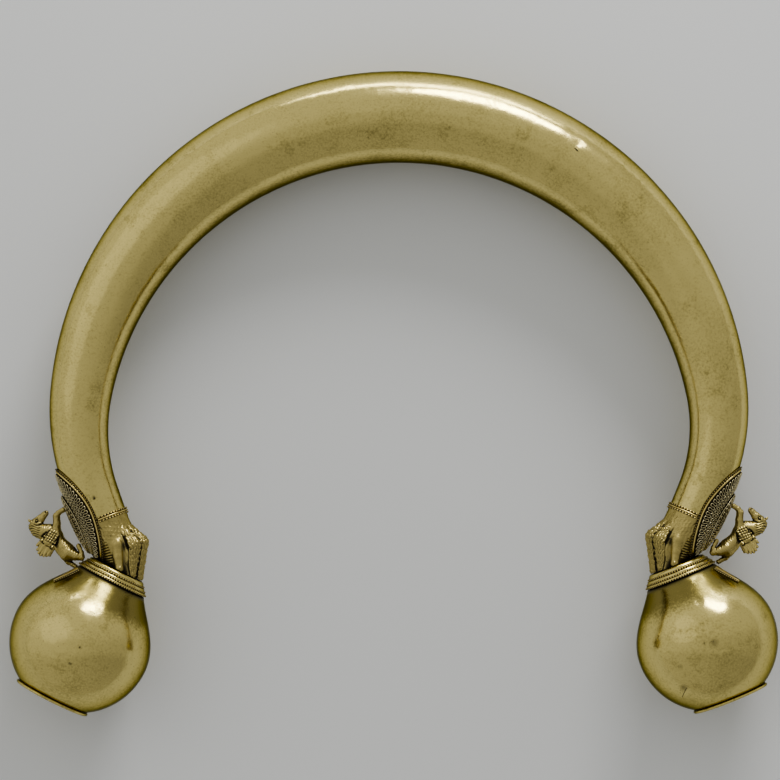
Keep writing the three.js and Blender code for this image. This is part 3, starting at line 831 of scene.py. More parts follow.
def disc_shell(globe, seam):
    """The disc that closes the globe, with a rounded edge and a shallow dish outside."""
    top = -globe.shoulder - globe.base - seam
    bottom = top - globe.disc_thickness
    edge = globe.radius * np.sqrt(1 - (globe.base / globe.base_curve) ** 2) + globe.disc_overhang
    round_over = globe.disc_thickness / 2
    turns = np.linspace(-np.pi / 2, np.pi / 2, 13)
    rim = np.array([edge, top]) - round_over + round_over * np.stack([np.cos(turns), np.sin(turns)], -1)
    reach = np.linspace(0, edge - round_over * 1.6, 24)
    dish = 0.35 * np.clip((edge - 1.6 - reach) / 1.2, 0, 1) ** 0.5
    under = np.stack([reach, bottom + dish], -1)
    profile = np.vstack([under, rim, (0, top)])
    recess = np.zeros(len(profile))
    recess[len(under) - 6 : len(under)] = 0.5
    return lathe(profile, globe.rim_sides, recess[1:-1])


# Collar, beads and leaves

def on_collar(arm, part, height):
    """Radius and height on the collar's cone: a share of the way down from the paw, and a height off it."""
    collar, seam = arm.collar, arm.wires.seam
    across = arm.globe.mouth - collar.top
    down = seam - collar.height
    lift = height / np.hypot(across, down)
    return collar.top + across * part - down * lift, collar.height + down * part + across * lift


# Where the collar's grooves lie, as shares of the way down it, and how much of each moulding is round.
GROOVES = [0, 0.42, 0.76, 1]
ROUND_PART = 0.78


def collar_shell(arm):
    """Three rounded mouldings, each narrower than the one above, with grooves between them."""
    collar = arm.collar
    t = np.linspace(0, 1, 25)[:-1]
    bump = np.sqrt(np.clip(1 - (2 * t / ROUND_PART - 1) ** 2, 0, 1)) * collar.rise
    parts = np.concatenate([low + (high - low) * t for low, high in zip(GROOVES, GROOVES[1:])])
    rise = np.tile(bump, collar.mouldings)
    r, y = on_collar(arm, parts, rise)
    cone = np.stack([r, y], -1)
    base = [(0, arm.wires.seam), (arm.globe.mouth - 0.2, arm.wires.seam)]
    profile = np.vstack([base, cone[::-1], [(0, collar.height)]])
    dirt = np.append(0.8, ((1 - rise / collar.rise) ** 1.5)[::-1])
    return lathe(profile, arm.globe.rim_sides, dirt)


def collar_beads(arm, groove):
    """The beaded wire under one of the mouldings."""
    radius, height = on_collar(arm, GROOVES[groove + 1] - 0.03, arm.wires.radius + 0.12)
    turns = circle(180)
    outward = np.stack([np.cos(turns), 0 * turns, np.sin(turns)], -1)
    return beaded_wire(outward * radius + np.array([0, height, 0]), outward, arm.wires, 0.3, loop=True)


def leaf_shells(arm, front):
    """A pointed leaf laid on the globe's shoulder, its edge set with beads."""
    collar, seam = arm.collar, arm.wires.seam
    outline = globe_profile(arm.globe, 56)[::-1][1:40]

    def skin(down, turn, lift):
        steepness = np.gradient(outline[:, 0], -outline[:, 1])
        tilt = np.arctan(np.interp(down, -outline[:, 1], steepness))
        reach = np.interp(down, -outline[:, 1], outline[:, 0]) + lift * np.cos(tilt)
        y = -down + lift * np.sin(tilt)
        return np.stack([reach * np.cos(turn), y, reach * np.sin(turn) * front], -1)

    part = np.linspace(0.14, 0.97, 34)
    half = collar.leaf_width / 2 * (1 - part**2) + 0.08
    down = collar.leaf_length * part
    r = np.interp(down, -outline[:, 1], outline[:, 0])
    across = np.linspace(-1, 1, 13)
    dome = seam + collar.leaf_thickness * (1 - 0.55 * across**2)
    turn = collar.leaf_angle + np.outer(half / r, across)
    downs = down[:, None] + 0 * turn
    top = skin(downs, turn, dome)
    under = skin(downs, turn, seam * 0.4)
    rings = np.concatenate([top, under[:, ::-1]], axis=1)
    dirt = np.concatenate([0.25 + 0.75 * across**4, np.full(len(across), 0.9)])
    plate = woven(rings, recess=np.broadcast_to(dirt, rings.shape[:2]))
    sides = [skin(down, collar.leaf_angle + flip * half / r, seam * 0.8) for flip in (-1, 1)]
    route = np.vstack([sides[0], sides[1][::-1]])
    outward = unit(route - np.array([0, -arm.globe.shoulder, 0]))
    fine = SimpleNamespace(radius=arm.wires.radius * 0.72, bead_pitch=arm.wires.bead_pitch * 0.8)
    return [plate, beaded_wire(route, outward, fine, 0.3)]


# Pad, ridge and their wires

# How far a loop bulges, the points of a loop and of a little ring, and a ring's radius and pitch, the radius
# in millimetres and the pitch as a share of a loop's.
LOOP_BULGE = 2.3
LOOP_STEPS = 18
RING_STEPS = 14
RING_RADIUS = 0.52
RING_PITCH = 0.9


class Patch:
    """An elliptical patch wrapped on the arm's outer side, with rows of filigree on it."""

    def __init__(self, arm, half_length, half_angle, rise, low, height):
        self.arm = arm
        self.half_length = half_length
        self.half_angle = half_angle
        self.rise = rise
        self.low = low
        self.height = height

    def spot(self, turn, inset):
        """Distance and angle on the arm of a place on the patch's outline, drawn in by an inset."""
        distance = -self.rise - (self.half_length - inset) * np.cos(turn)
        radius = self.arm.section(distance)[2] + self.low
        return distance, (self.half_angle - inset / radius) * np.sin(turn)

    def top(self, distance, side):
        """Height of the patch's upper face over the arm."""
        along = (distance + self.rise) / self.half_length
        swell = np.clip(1 - along**2 - (side / self.half_angle) ** 2, 0, 1)
        return self.height(swell)

    def sheet(self, columns=70, rows=90):
        """The patch's own sheet, cut off above the sole."""
        side = self.half_angle * -np.cos(np.linspace(0.06, np.pi - 0.06, columns))
        reach = self.half_length * np.sqrt(1 - (side / self.half_angle) ** 2)
        low, high = -self.rise + 0 * reach, -self.rise + reach
        for _ in range(24):
            middle = (low + high) / 2
            points, _ = self.arm.over(middle, side, self.low)
            clear = self.arm.above_sole(self.arm.to_leg(points)) > 0
            low = np.where(clear, middle, low)
            high = np.where(clear, high, middle)
        part = np.linspace(0, 1, rows)
        distance = (-self.rise - reach)[:, None] * (1 - part) + low[:, None] * part
        turned = np.broadcast_to(side[:, None], distance.shape)
        upper, _ = self.arm.over(distance, turned, self.top(distance, turned))
        under, _ = self.arm.over(distance, turned, self.low)
        # The whole sheet counts as recessed: dirt and painted shade under the filigree.
        return woven(np.concatenate([upper, under[:, ::-1]], axis=1), recess=0.95, finish=1)

    def runs(self, route, outward):
        """The stretches of a closed route that lie above the sole, each with whether it is whole."""
        clear = self.arm.above_sole(self.arm.to_leg(route)) > self.arm.wires.loop_radius
        if clear.all():
            return [(route, outward, True)]
        first = int(np.argmin(clear))
        clear, route, outward = (np.roll(rows, -first, axis=0) for rows in (clear, route, outward))
        edges = np.flatnonzero(np.diff(clear.astype(int), prepend=0, append=0))
        pairs = zip(edges[::2], edges[1::2])
        return [(route[a:b], outward[a:b], False) for a, b in pairs if b - a > 4]

    def row(self, inset):
        """Turns round the outline and the distance walked at each, for a row at an inset."""
        turns = np.linspace(-np.pi, np.pi, 1201)
        distance, side = self.spot(turns, inset)
        points, _ = self.arm.over(distance, side, self.top(distance, side))
        return turns, reach_along(points)

    def laid(self, table, walked, inset, lift):
        """Points of a wire laid on the patch, by the distance walked round it and the inset."""
        turns, reach = table
        turn = np.interp(walked % reach[-1], reach, turns)
        distance, side = self.spot(turn, inset)
        return self.arm.over(distance, side, self.top(distance, side) + lift)

    def omegas(self, inset, pitch, tall):
        """A wire bent into a row of rounded loops that lean towards the edge."""
        wires = self.arm.wires
        table = self.row(inset - tall / 2)
        count = max(4, round(table[1][-1] / pitch))
        t = np.arange(count * LOOP_STEPS) / LOOP_STEPS
        walked = (t + LOOP_BULGE / (4 * np.pi) * np.sin(4 * np.pi * t)) * table[1][-1] / count
        inward = inset - tall * (1 - np.cos(2 * np.pi * t)) / 2
        route, outward = self.laid(table, walked, inward, wires.loop_radius * 0.8)
        return [wire(*run[:2], wires.loop_radius, run[2], sides=6) for run in self.runs(route, outward)]

    def rings(self, inset, pitch):
        """A row of little rings side by side, but none cut by the sole."""
        table = self.row(inset)
        count = max(4, round(table[1][-1] / (pitch * RING_PITCH)))
        turn = circle(RING_STEPS)
        across, aside = RING_RADIUS * np.cos(turn), RING_RADIUS * np.sin(turn)
        shells = []
        for i in range(count):
            walked = table[1][-1] * (i + 0.5) / count
            for line, off, whole in self.runs(*self.laid(table, walked + across, inset - aside, 0.1)):
                if whole:
                    shells.append(wire(line, off, self.arm.wires.loop_radius, True, sides=5))
        return shells

    def line(self, inset, radius, lift):
        """A plain wire round the patch."""
        turns = np.linspace(-np.pi, np.pi, 420, endpoint=False)
        distance, side = self.spot(turns, inset)
        route, outward = self.arm.over(distance, side, self.top(distance, side) + lift)
        return [wire(line, off, radius, loop, sides=8) for line, off, loop in self.runs(route, outward)]


def pad_patch(arm):
    """The flat pad, rounded down at its edge."""
    pad, seam = sizes("pad"), arm.wires.seam

    def height(swell):
        return seam + pad.thickness * np.clip(0.25 + swell / 0.09, 0, 1)

    return Patch(arm, pad.half_length, pad.half_angle, pad.rise, seam * 0.5, height)


def ridge_patch(arm):
    """The ridge on the pad, highest in its middle."""
    pad, seam = sizes("pad"), arm.wires.seam
    foot = 2 * seam + pad.thickness

    def height(swell):
        edge = np.clip(0.2 + swell / 0.12, 0, 1)
        return foot + pad.ridge_height * (pad.ridge_edge * edge + (1 - pad.ridge_edge) * swell)

    low = foot - seam * 0.85
    return Patch(arm, pad.ridge_half_length, pad.ridge_half_angle, pad.ridge_rise, low, height)


def pad_shells(arm):
    """The pad's sheet under a row of loops and rows of rings."""
    patch, pitch = pad_patch(arm), arm.wires.loop_pitch
    shells = [patch.sheet()]
    shells += patch.omegas(2.3, pitch, 1.95)
    shells += patch.line(2.85, arm.wires.loop_radius * 0.7, 0.05)
    for inset in (3.7, 5.05):
        shells += patch.rings(inset, pitch)
    return shells


def ridge_shells(arm):
    """The ridge's sheet under two rows of loops and one of rings."""
    patch, pitch = ridge_patch(arm), arm.wires.loop_pitch
    shells = [patch.sheet(40, 70)]
    shells += patch.line(0.1, arm.wires.loop_radius * 1.2, 0)
    shells += patch.omegas(2.0, pitch, 1.6)
    shells += patch.omegas(3.9, pitch, 1.5)
    shells += patch.rings(4.8, pitch)
    return shells


def pad_border(arm, inset, beaded):
    """A wire round the pad, laid on the arm beside its edge."""
    patch, wires = pad_patch(arm), arm.wires
    turns = np.linspace(-np.pi, np.pi, 520, endpoint=False)
    distance, side = patch.spot(turns, inset)
    route, outward = arm.over(distance, side, wires.seam * 0.6 + wires.radius)
    shells = []
    for line, off, loop in patch.runs(route, outward):
        if beaded:
            shells.append(beaded_wire(line, off, wires, 0.5, loop))
        else:
            shells.append(wire(line, off, wires.radius * 1.2, loop, sides=10))
    return shells


def ankle_ring(arm, step, beaded):
    """A wire round the ankle that stops at the pad's wires."""
    wires, pad = arm.wires, sizes("pad")
    spacing = 2 * wires.radius + wires.gap
    distance = step * spacing
    clear = 3 * wires.radius + wires.gap * 2 + spacing * 0.6
    start = pad.half_angle + clear / arm.section(distance)[2]
    turns = np.linspace(start, 2 * np.pi - start, 160)
    route, outward = arm.over(distance, turns, wires.seam * 0.5 + wires.radius * 0.8)
    if beaded:
        long_beads = SimpleNamespace(radius=wires.radius * 1.1, bead_pitch=wires.bead_pitch * 1.2)
        return beaded_wire(route, outward, long_beads, 0.25)
    return wire(route, outward, wires.radius)


# Modelled figures: a distance field is worked out and given a skin of small faces

def blended(a, b, reach):
    """The union of two distances, with a fillet."""
    mix = np.clip(0.5 + 0.5 * (b - a) / reach, 0, 1)
    return b + (a - b) * mix - reach * mix * (1 - mix)


def limb(points, joints, reach=0.4):
    """Distance to a rounded limb through joints given as x, y, z and radius."""
    found = None
    for start, end in zip(joints, joints[1:]):
        a, b = np.array(start[:3], np.float32), np.array(end[:3], np.float32)
        bone = b - a
        part = np.clip((points - a) @ bone / max(float(bone @ bone), 1e-6), 0, 1)
        gap = np.linalg.norm(points - a - part[:, None] * bone, axis=1)
        distance = gap - (start[3] + (end[3] - start[3]) * part)
        found = distance if found is None else blended(found, distance, reach)
    return found


def folded(points):
    """Points of the back brought to the front, so that a figure is alike on both sides."""
    return np.stack([points[:, 0], points[:, 1], np.abs(points[:, 2])], -1)


EDGES = [(a, b) for a in range(8) for b in range(a + 1, 8) if bin(a ^ b).count("1") == 1]
CORNERS = np.array([[n & 1, n >> 1 & 1, n >> 2 & 1] for n in range(8)])


def skin_over(field, low, high, step):
    """Points and quads on the zero of a distance field inside a box, worked out in blocks near it."""
    block = 4
    counts = np.ceil((np.array(high) - low) / (step * block)).astype(int)
    origin = np.array(low, np.float32)
    blocks = np.stack(np.meshgrid(*map(np.arange, counts), indexing="ij"), -1).reshape(-1, 3)
    middles = origin + (blocks + 0.5) * step * block
    coarse = field(middles.astype(np.float32))
    values = np.repeat(np.repeat(np.repeat(coarse.reshape(counts), block, 0), block, 1), block, 2)
    near = blocks[np.abs(coarse) < step * block * 1.6]
    inner = np.stack(np.meshgrid(*[np.arange(block)] * 3, indexing="ij"), -1).reshape(-1, 3)
    nodes = (near[:, None] * block + inner).reshape(-1, 3)
    values[tuple(nodes.T)] = field((origin + (nodes + 0.5) * step).astype(np.float32))

    inside = values < 0
    cells = np.zeros(np.array(values.shape) - 1, int)
    for corner in CORNERS:
        cells += inside[tuple(slice(c, c + n) for c, n in zip(corner, cells.shape))]
    active = np.argwhere((cells > 0) & (cells < 8))
    held = np.stack([values[tuple((active + corner).T)] for corner in CORNERS], -1)
    total = np.zeros((len(active), 3))
    crossed = np.zeros(len(active))
    for a, b in EDGES:
        cut = (held[:, a] < 0) != (held[:, b] < 0)
        part = np.where(cut, held[:, a] / np.where(cut, held[:, a] - held[:, b], 1), 0)
        total += cut[:, None] * (CORNERS[a] + part[:, None] * (CORNERS[b] - CORNERS[a]))
        crossed += cut
    points = origin + (active + 0.5 + total / crossed[:, None]) * step
    number_of = np.full(cells.shape, -1)
    number_of[tuple(active.T)] = np.arange(len(active))

    quads = []
    for axis in range(3):
        along = [slice(None)] * 3
        along[axis] = slice(0, -1)
        ahead = [slice(None)] * 3
        ahead[axis] = slice(1, None)
        start, end = inside[tuple(along)], inside[tuple(ahead)]
        u, v = np.eye(3, dtype=int)[(axis + 1) % 3], np.eye(3, dtype=int)[(axis + 2) % 3]
        for flip, crossing in ((1, start & ~end), (-1, ~start & end)):
            at = np.argwhere(crossing)
            ring = [at - u - v, at - v, at, at - u][::flip]
            quads.append(np.stack([number_of[tuple(cell.T)] for cell in ring], -1))
    return points.astype(np.float32), np.concatenate(quads)


def slope(field, points):
    """The direction in which a field rises fastest."""
    steps = np.eye(3, dtype=np.float32) * 0.05
    rise = [field(points + step) - field(points - step) for step in steps]
    return unit(np.stack(rise, -1) + 1e-9)


def figure_shell(field, relief, low, high, step):
    """A skin over a field, with relief pressed into it, painted shade in its hollows and dirt in its cut
    relief.
    """
    points, quads = skin_over(field, low, high, step)
    for _ in range(2):
        points = points - slope(field, points) * np.clip(field(points), -step, step)[:, None]
    normal = slope(field, points)
    depth = relief(points)
    # Painted shade: how closely the field crowds the surface, taken as ambient occlusion, darkens the
    # hollows.
    hollow = np.zeros(len(points))
    for reach in (0.35, 0.9):
        hollow += np.clip(1 - field(points + normal * reach) / reach, 0, 1) / 2
    points = points - normal * depth[:, None]
    deepest = max(float(depth.max()), 1e-6)
    # The recess: painted shade in the hollows and dirt in the cut relief.
    recess = np.clip(hollow * 2.1 + 0.95 * (depth / deepest) ** 1.5 - 0.1, 0, 1)
    return Shell(points, quads, recess=recess)


# Paw

def toe_joints(arm, paw, degrees, thick):
    """A toe from its root over the knuckle to its tip, in the leg's frame."""
    c, s = np.cos(np.radians(degrees)), np.sin(np.radians(degrees))
    small = thick < 1
    fat = paw.toe * thick
    drop = paw.knuckle_drop - (2 if small else 0)
    spread = paw.knuckle_circle - (0.8 if small else 0)
    knuckle = np.array([-0.8 - spread * c, -drop, spread * 0.88 * s])
    near = arm.hoop.ankle - 4
    root = np.array([-0.4 - near * c, -4, near * s])
    reach = arm.collar.top + 0.2 - paw.toe_tip * thick
    tip = arm.at_sole(reach * c, 1, (reach - 0.4) * s)
    below = arm.at_sole(reach * c, -1.5, (reach - 0.4) * s)
    middle = (knuckle + tip) / 2
    return [
        (*root, fat * 0.9),
        (*(root + (knuckle - root) * 0.6), fat * 0.93),
        (*knuckle, fat),
        (*middle, fat * 0.8),
        (*tip, paw.toe_tip * thick),
        (*below, paw.toe_tip * thick * 0.9),
    ]


def claw_joints(arm, degrees, thick):
    """The hooked claw at the end of a toe."""
    c, s = np.cos(np.radians(degrees)), np.sin(np.radians(degrees))
    reach = arm.collar.top - 1.3
    stops = [(-0.9, 3.1, 0.85), (0.2, 2.2, 0.8), (0.9, 1.2, 0.6), (1.1, 0.5, 0.25)]
    joints = []
    for out, rise, radius in stops:
        joints.append((*arm.at_sole((reach + out) * c, rise, (reach + out) * s), radius * thick))
    return joints


# On both sides of the paw: a tendon that stands out down the leg, and a crease beside the toes.
TENDON = [(0.9, -1.2, 6.6, 1.5), (-0.8, -5.2, 6.6, 1.55), (-1.9, -9.2, 6.3, 1.6), (-1.9, -11.4, 6.0, 1.3)]
CREASE = [(-4.7, -6.8, 8.0, 0.3), (-4.9, -9, 7.9, 0.5), (-4.6, -12.4, 8.2, 0.55), (-3.0, -15.0, 8.5, 0.5)]


def paw_field(arm):
    """Distance to the paw in the leg's frame. Front and back are alike."""
    paw, seam = sizes("paw"), arm.wires.seam
    slim = arm.hoop.leg_taper + paw.pad_bed
    inner_drop = [0, 5, 10.5, 15, 22]
    inner_line = [off - arm.hoop.ankle for off in (0, 0.1, 0.3, 0.6)] + [-3.4]
    toes = [(toe_joints(arm, paw, turn, thick), thick) for turn, thick in ((16, 1), (48, 1), (84, paw.claw))]
    claws = [claw_joints(arm, turn, thick) for turn, thick in ((16, 1), (48, 1), (84, 0.8))]

    def field(points):
        points = folded(points)
        x, y, z = points.T
        down = -y
        deep = arm.hoop.ankle - slim * down
        outer = deep - arm.hoop.leg_swing * down**2
        inner = np.interp(down, inner_drop, inner_line)
        half = np.maximum((outer - inner) / 2, 1)
        deep = np.maximum(deep, 1)
        found = (np.hypot((x - (outer + inner) / 2) / half, z / deep) - 1) * np.minimum(half, deep)
        for joints, thick in toes:
            found = blended(found, limb(points, joints), 0.55 * thick)
        found = blended(found, limb(points, TENDON), 1.1)
        found = -blended(-found, limb(points, CREASE), 0.35)
        for joints in claws:
            found = np.minimum(found, limb(points, joints, 0.2))
        found = np.maximum(found, y + seam / 2)
        return np.maximum(found, -arm.above_sole(points))

    return field


# A lock of fur's width and length, and the pitch of the tuft's bars.
FUR_WIDTH = 0.95
FUR_LENGTH = 1.7
BAR_PITCH = 0.95


def paw_relief(arm):
    """Locks of fur on the toes, fine hair on the back and the short bars of the tuft beside the pad."""
    deep = sizes("paw").fur

    def relief(points):
        x, y, z = points.T
        down = -y
        round_leg = arm.hoop.ankle * np.arctan2(np.abs(z), -(x + 1))
        column = round_leg / FUR_WIDTH + 0.3 * np.sin(down * 1.7 + 0.4 * round_leg)
        lock = down / FUR_LENGTH + 0.5 * (np.floor(column) % 2) + 0.25 * np.sin(2.3 * np.floor(column))
        across = np.sin(np.pi * (column % 1))
        along = 1 - lock % 1
        fur = 1 - across**0.7 * (0.25 + 0.75 * along**0.8)
        edge = np.interp(down, [6, 9, 12.4, 15, 18.3, 24], [-4.4, -4.9, -4.9, -4.2, -2.6, -1.6])
        on_toes = smooth(down, 5.6, 8.2) * smooth(edge - x, 0, 0.6)
        groove = np.exp(-(((x - edge - 0.1) / 0.3) ** 2)) * smooth(down, 6.2, 8.4)
        hair = 0.5 + 0.5 * np.sin(5.5 * x + 1.2 * np.sin(1.9 * down))
        hair = hair * smooth(np.abs(np.sin(2.1 * down + x)), 0.1, 0.5)
        on_back = between(down, 1.4, 3.2, 7.0, 9.5)
        bars = 0.5 + 0.5 * np.cos(2 * np.pi * (down + 0.15 * x) / BAR_PITCH)
        beside = between(x, 1.1, 1.7, 4.1, 4.8) * between(down, 7.8, 8.6, 14.4, 15.4)
        cut = fur * on_toes + 1.1 * bars**1.5 * beside + groove + 0.35 * hair * on_back
        return deep * np.clip(cut, 0, 1.2)

    return relief


def paw_shell(arm):
    """The whole paw."""
    low, high = (-13.5, -26, -11.5), (9.5, 0.6, 11.5)
    return figure_shell(paw_field(arm), paw_relief(arm), low, high, sizes("paw").grain)


# Winged horse, drawn in millimetres at this height: x out from the ridge, y up from the collar's rim

DRAWN_HEIGHT = 19.6
# How much flatter a wing is than its drawing, and the pitch of its scales.
WING_THINNESS = 0.55
SCALE_PITCH = 0.95

TRUNK = [
    (3.4, 4.4, 0, 1.9),
    (4.8, 5.8, 0, 3.0),
    (5.8, 8.0, 0, 2.7),
    (6.5, 10.3, 0, 2.35),
    (7.0, 12.9, 0, 2.8),
    (8.2, 14.8, 0, 2.8),
    (10.4, 15.9, 0, 2.65),
    (12.0, 17.2, 0, 2.3),
    (12.9, 18.8, 0, 1.5),
]
HEAD = [
    (12.9, 18.7, 0, 1.5),
    (11.3, 19.4, 0, 1.95),
    (9.5, 20.3, 0, 1.5),
    (7.8, 21.1, 0, 1.1),
    (6.9, 21.5, 0, 1.0),
]
FORE_LEG = [
    (6.2, 14, 1.4, 1.7),
    (4.7, 16.7, 1.7, 1.2),
    (3.9, 19.2, 1.75, 1.08),
    (2.7, 20.0, 1.7, 0.8),
    (1.6, 20.2, 1.65, 0.76),
    (0.75, 20.3, 1.6, 0.88),
]
NEAR_HIND = [
    (4.6, 5.6, 1.5, 2.1),
    (2.7, 3.7, 1.7, 1.6),
    (1.0, 2.5, 1.7, 1.15),
    (0.4, 3.9, 1.7, 0.85),
    (0.4, 5.5, 1.65, 0.78),
    (0.45, 6.6, 1.6, 0.88),
]
FAR_HIND = [
    (4.8, 5.6, -1.5, 2.1),
    (6, 4, -1.7, 1.5),
    (6.0, 2.8, -1.7, 1.05),
    (5.2, 1.6, -1.65, 0.8),
    (4.4, 0.45, -1.6, 0.88),
]
CREST = [(14.0, 19.7), (14.15, 17.8), (13.3, 15.6), (11.6, 13.7)]
WING_ROOT = np.array([5.6, 14.4, 2.2])
WING_TIP = np.array([13.7, 9.0, 4.4])


def mirrored(joints):
    """The same limb on the other side."""
    return [(x, y, -z, r) for x, y, z, r in joints]


def mane_joints():
    """Tufts along the back of the neck, each a short hooked lock."""
    crest = spaced(np.array([(*spot, 0) for spot in CREST]), 0.72)
    locks = []
    for i, (spot, along) in enumerate(zip(crest, unit(np.gradient(crest, axis=0)))):
        out = np.array([-along[1], along[0], 0])
        if out[0] < 0:
            out = -out
        sway = 0.42 if i % 2 else -0.42
        root = spot - out * 0.9
        tip = spot + out * 0.35 + along * 0.55 + np.array([0, 0, sway])
        middle = (root + tip) / 2 + out * 0.15
        locks.append([(*root, 0.6), (*middle, 0.42), (*tip, 0.16)])
    return locks


def wing_field(points):
    """Distance to one wing: a rounded shoulder, two rows of coverts and a fan of long feathers."""
    along = unit(WING_TIP - WING_ROOT)
    off = unit(np.cross(along, np.cross(np.array([0, 0, 1.0]), along)))
    aside = np.cross(off, along)
    axes = np.stack([along, aside, off / WING_THINNESS], -1).astype(np.float32)
    own = (points - WING_ROOT.astype(np.float32)) @ axes
    found = limb(own, [(0.2, 0, -0.6, 1.6), (2.2, 0.1, 0, 2.1), (4.4, 0.1, 0.1, 2.15)], 0.5)
    feathers = 6
    for i in range(feathers):
        side = 2 * i / (feathers - 1) - 1
        tip = 10.2 - 1.7 * side**2 - 0.5 * side
        lay = 0.25 * (i % 2) - 0.3
        root, middle = (2.6, 1.3 * side, lay, 0.65), (6.2, 2.1 * side, lay + 0.1, 0.68)
        joints = [root, middle, (tip, 2.5 * side, lay + 0.2, 0.5)]
        found = blended(found, limb(own, joints, 0.2), 0.12)
    for row, (start, count, spread) in enumerate([(5.0, 5, 2.15), (3.4, 5, 2.0), (1.9, 4, 1.6)]):
        for i in range(count):
            side = 2 * i / (count - 1) - 1
            lay = 0.9 + 0.3 * row
            root = (start - 0.9, spread * 0.85 * side, lay - 0.6, 0.6)
            tip = (start + 0.8, spread * side, lay, 0.52)
            found = blended(found, limb(own, [root, tip], 0.2), 0.1)
    return found * 0.7


def horse_field(points):
    """Distance to the whole figure."""
    found = limb(points, TRUNK, 0.9)
    found = blended(found, limb(points, HEAD, 0.5), 0.5)
    for joints in (FORE_LEG, mirrored(FORE_LEG), NEAR_HIND, FAR_HIND):
        found = blended(found, limb(points, joints, 0.35), 0.45)
    both = folded(points)
    ear = [(12.6, 20.2, 1.0, 0.6), (13.1, 21.1, 1.2, 0.42), (13.3, 21.7, 1.25, 0.16)]
    jaw = [(11.2, 18.7, 0.8, 1.1), (9.9, 19.5, 0.6, 0.85)]
    brow = [(10.6, 20.9, 1.4, 0.42), (10.0, 21.2, 1.3, 0.36)]
    nostril = [(7.0, 22.1, 0.8, 0.3), (6.8, 21.8, 0.9, 0.25)]
    socket = [(10.9, 20.1, 1.95, 0.5), (10.6, 20.2, 1.9, 0.5)]
    eye = [(10.8, 20.15, 1.6, 0.36), (10.7, 20.2, 1.6, 0.36)]
    for joints, reach in ((ear, 0.25), (jaw, 0.4), (brow, 0.15)):
        found = blended(found, limb(both, joints, 0.2), reach)
    for joints in (nostril, socket):
        found = -blended(-found, limb(both, joints, 0.1), 0.12)
    found = np.minimum(found, limb(both, eye, 0.1))
    for joints in mane_joints():
        found = blended(found, limb(points, joints, 0.2), 0.15)
    return blended(found, wing_field(both), 0.3)


def horse_relief(points):
    """Chasing: hair, the mane's strands, the mouth, scales on the wings and a line down the chest."""
    x, y, z = points.T
    along = unit(WING_TIP[:2] - WING_ROOT[:2])
    down_wing = (x - WING_ROOT[0]) * along[0] + (y - WING_ROOT[1]) * along[1]
    across = (x - WING_ROOT[0]) * along[1] - (y - WING_ROOT[1]) * along[0]
    on_wing = smooth(np.abs(z), 2.7, 3.3) * between(down_wing, -1.8, -1.2, 4.8, 5.4)
    on_wing = on_wing * smooth(-np.abs(across), -3.6, -3.0)
    scales = np.abs(np.sin(np.pi * across / SCALE_PITCH))
    scales = scales * np.abs(np.sin(np.pi * (down_wing + 0.2 * across) / SCALE_PITCH))
    hair = 0.5 + 0.5 * np.sin(7.2 * (x * 0.75 + y * 0.66) + 1.6 * np.sin(2.4 * (x - y)))
    mouth = np.exp(-(((y - 21.05 + 0.42 * (x - 7)) / 0.12) ** 2))
    mouth = mouth * smooth(-x, -8.6, -7.9) * smooth(y, 19.5, 20.2)
    split = np.exp(-((z / 0.16) ** 2)) * smooth(-y, -6.5, -5.5) * smooth(x, 5, 6)
    mane = smooth(x + 0.5 * y, 18.2, 19.6) * between(y, 13.5, 14.5, 19.2, 20.2)
    strands = 0.5 + 0.5 * np.cos(2 * np.pi * (0.85 * y - 0.45 * x + 0.25 * np.sin(1.8 * x)) / 0.85)
    chased = np.maximum.reduce([0.07 * hair, 0.24 * mane * strands, 0.26 * on_wing * (1 - scales)])
    return chased + 0.2 * mouth + 0.1 * split


def horse_shell():
    """The whole horse."""
    low, high = (-1.6, -0.9, -6.6), (15.6, 23.2, 6.6)
    return figure_shell(horse_field, horse_relief, low, high, sizes("horse").grain)


# Operators

class TorcOperator:
    """What the torc's operators share."""

    bl_options = {"REGISTER", "UNDO"}

    def execute(self, context):
        lying_torc()
        self.make()
        return {"FINISHED"}


class TORC_OT_hoop(TorcOperator, bpy.types.Operator):
    """Makes the hollow hoop with its dents"""

    bl_idname = "torc.hoop"
    bl_label = "Hoop"

    def make(self):
        make_piece("hoop", [hoop_shell()], TORC.lay_down, "sheet_gold")


class TORC_OT_globes(TorcOperator, bpy.types.Operator):
    """Makes both globes and the discs that close them"""

    bl_idname = "torc.globes"
    bl_label = "Globes"

    def make(self):
        for arm, dents in ((Arm("left"), LEFT_GLOBE_DENTS), (Arm("right"), RIGHT_GLOBE_DENTS)):
            add = foot_maker(arm)
            add("globe", [globe_shell(arm, dents)], "sheet_gold")
            add("end_disc", [disc_shell(arm.globe, arm.wires.seam)], "sheet_gold")


class TORC_OT_collars(TorcOperator, bpy.types.Operator):
    """Makes the collars, their beaded wires and the leaves"""

    bl_idname = "torc.collars"
    bl_label = "Collars"

    def make(self):
        for arm in map(Arm, ARMS):
            add = foot_maker(arm)
            add("collar", [collar_shell(arm)], "sheet_gold")
            for groove in range(arm.collar.mouldings):
                add(f"collar_beads_{groove + 1}", [collar_beads(arm, groove)], "wire_gold")
            for name, front in (("leaf_front", 1), ("leaf_back", -1)):
                add(name, leaf_shells(arm, front), "wire_gold")


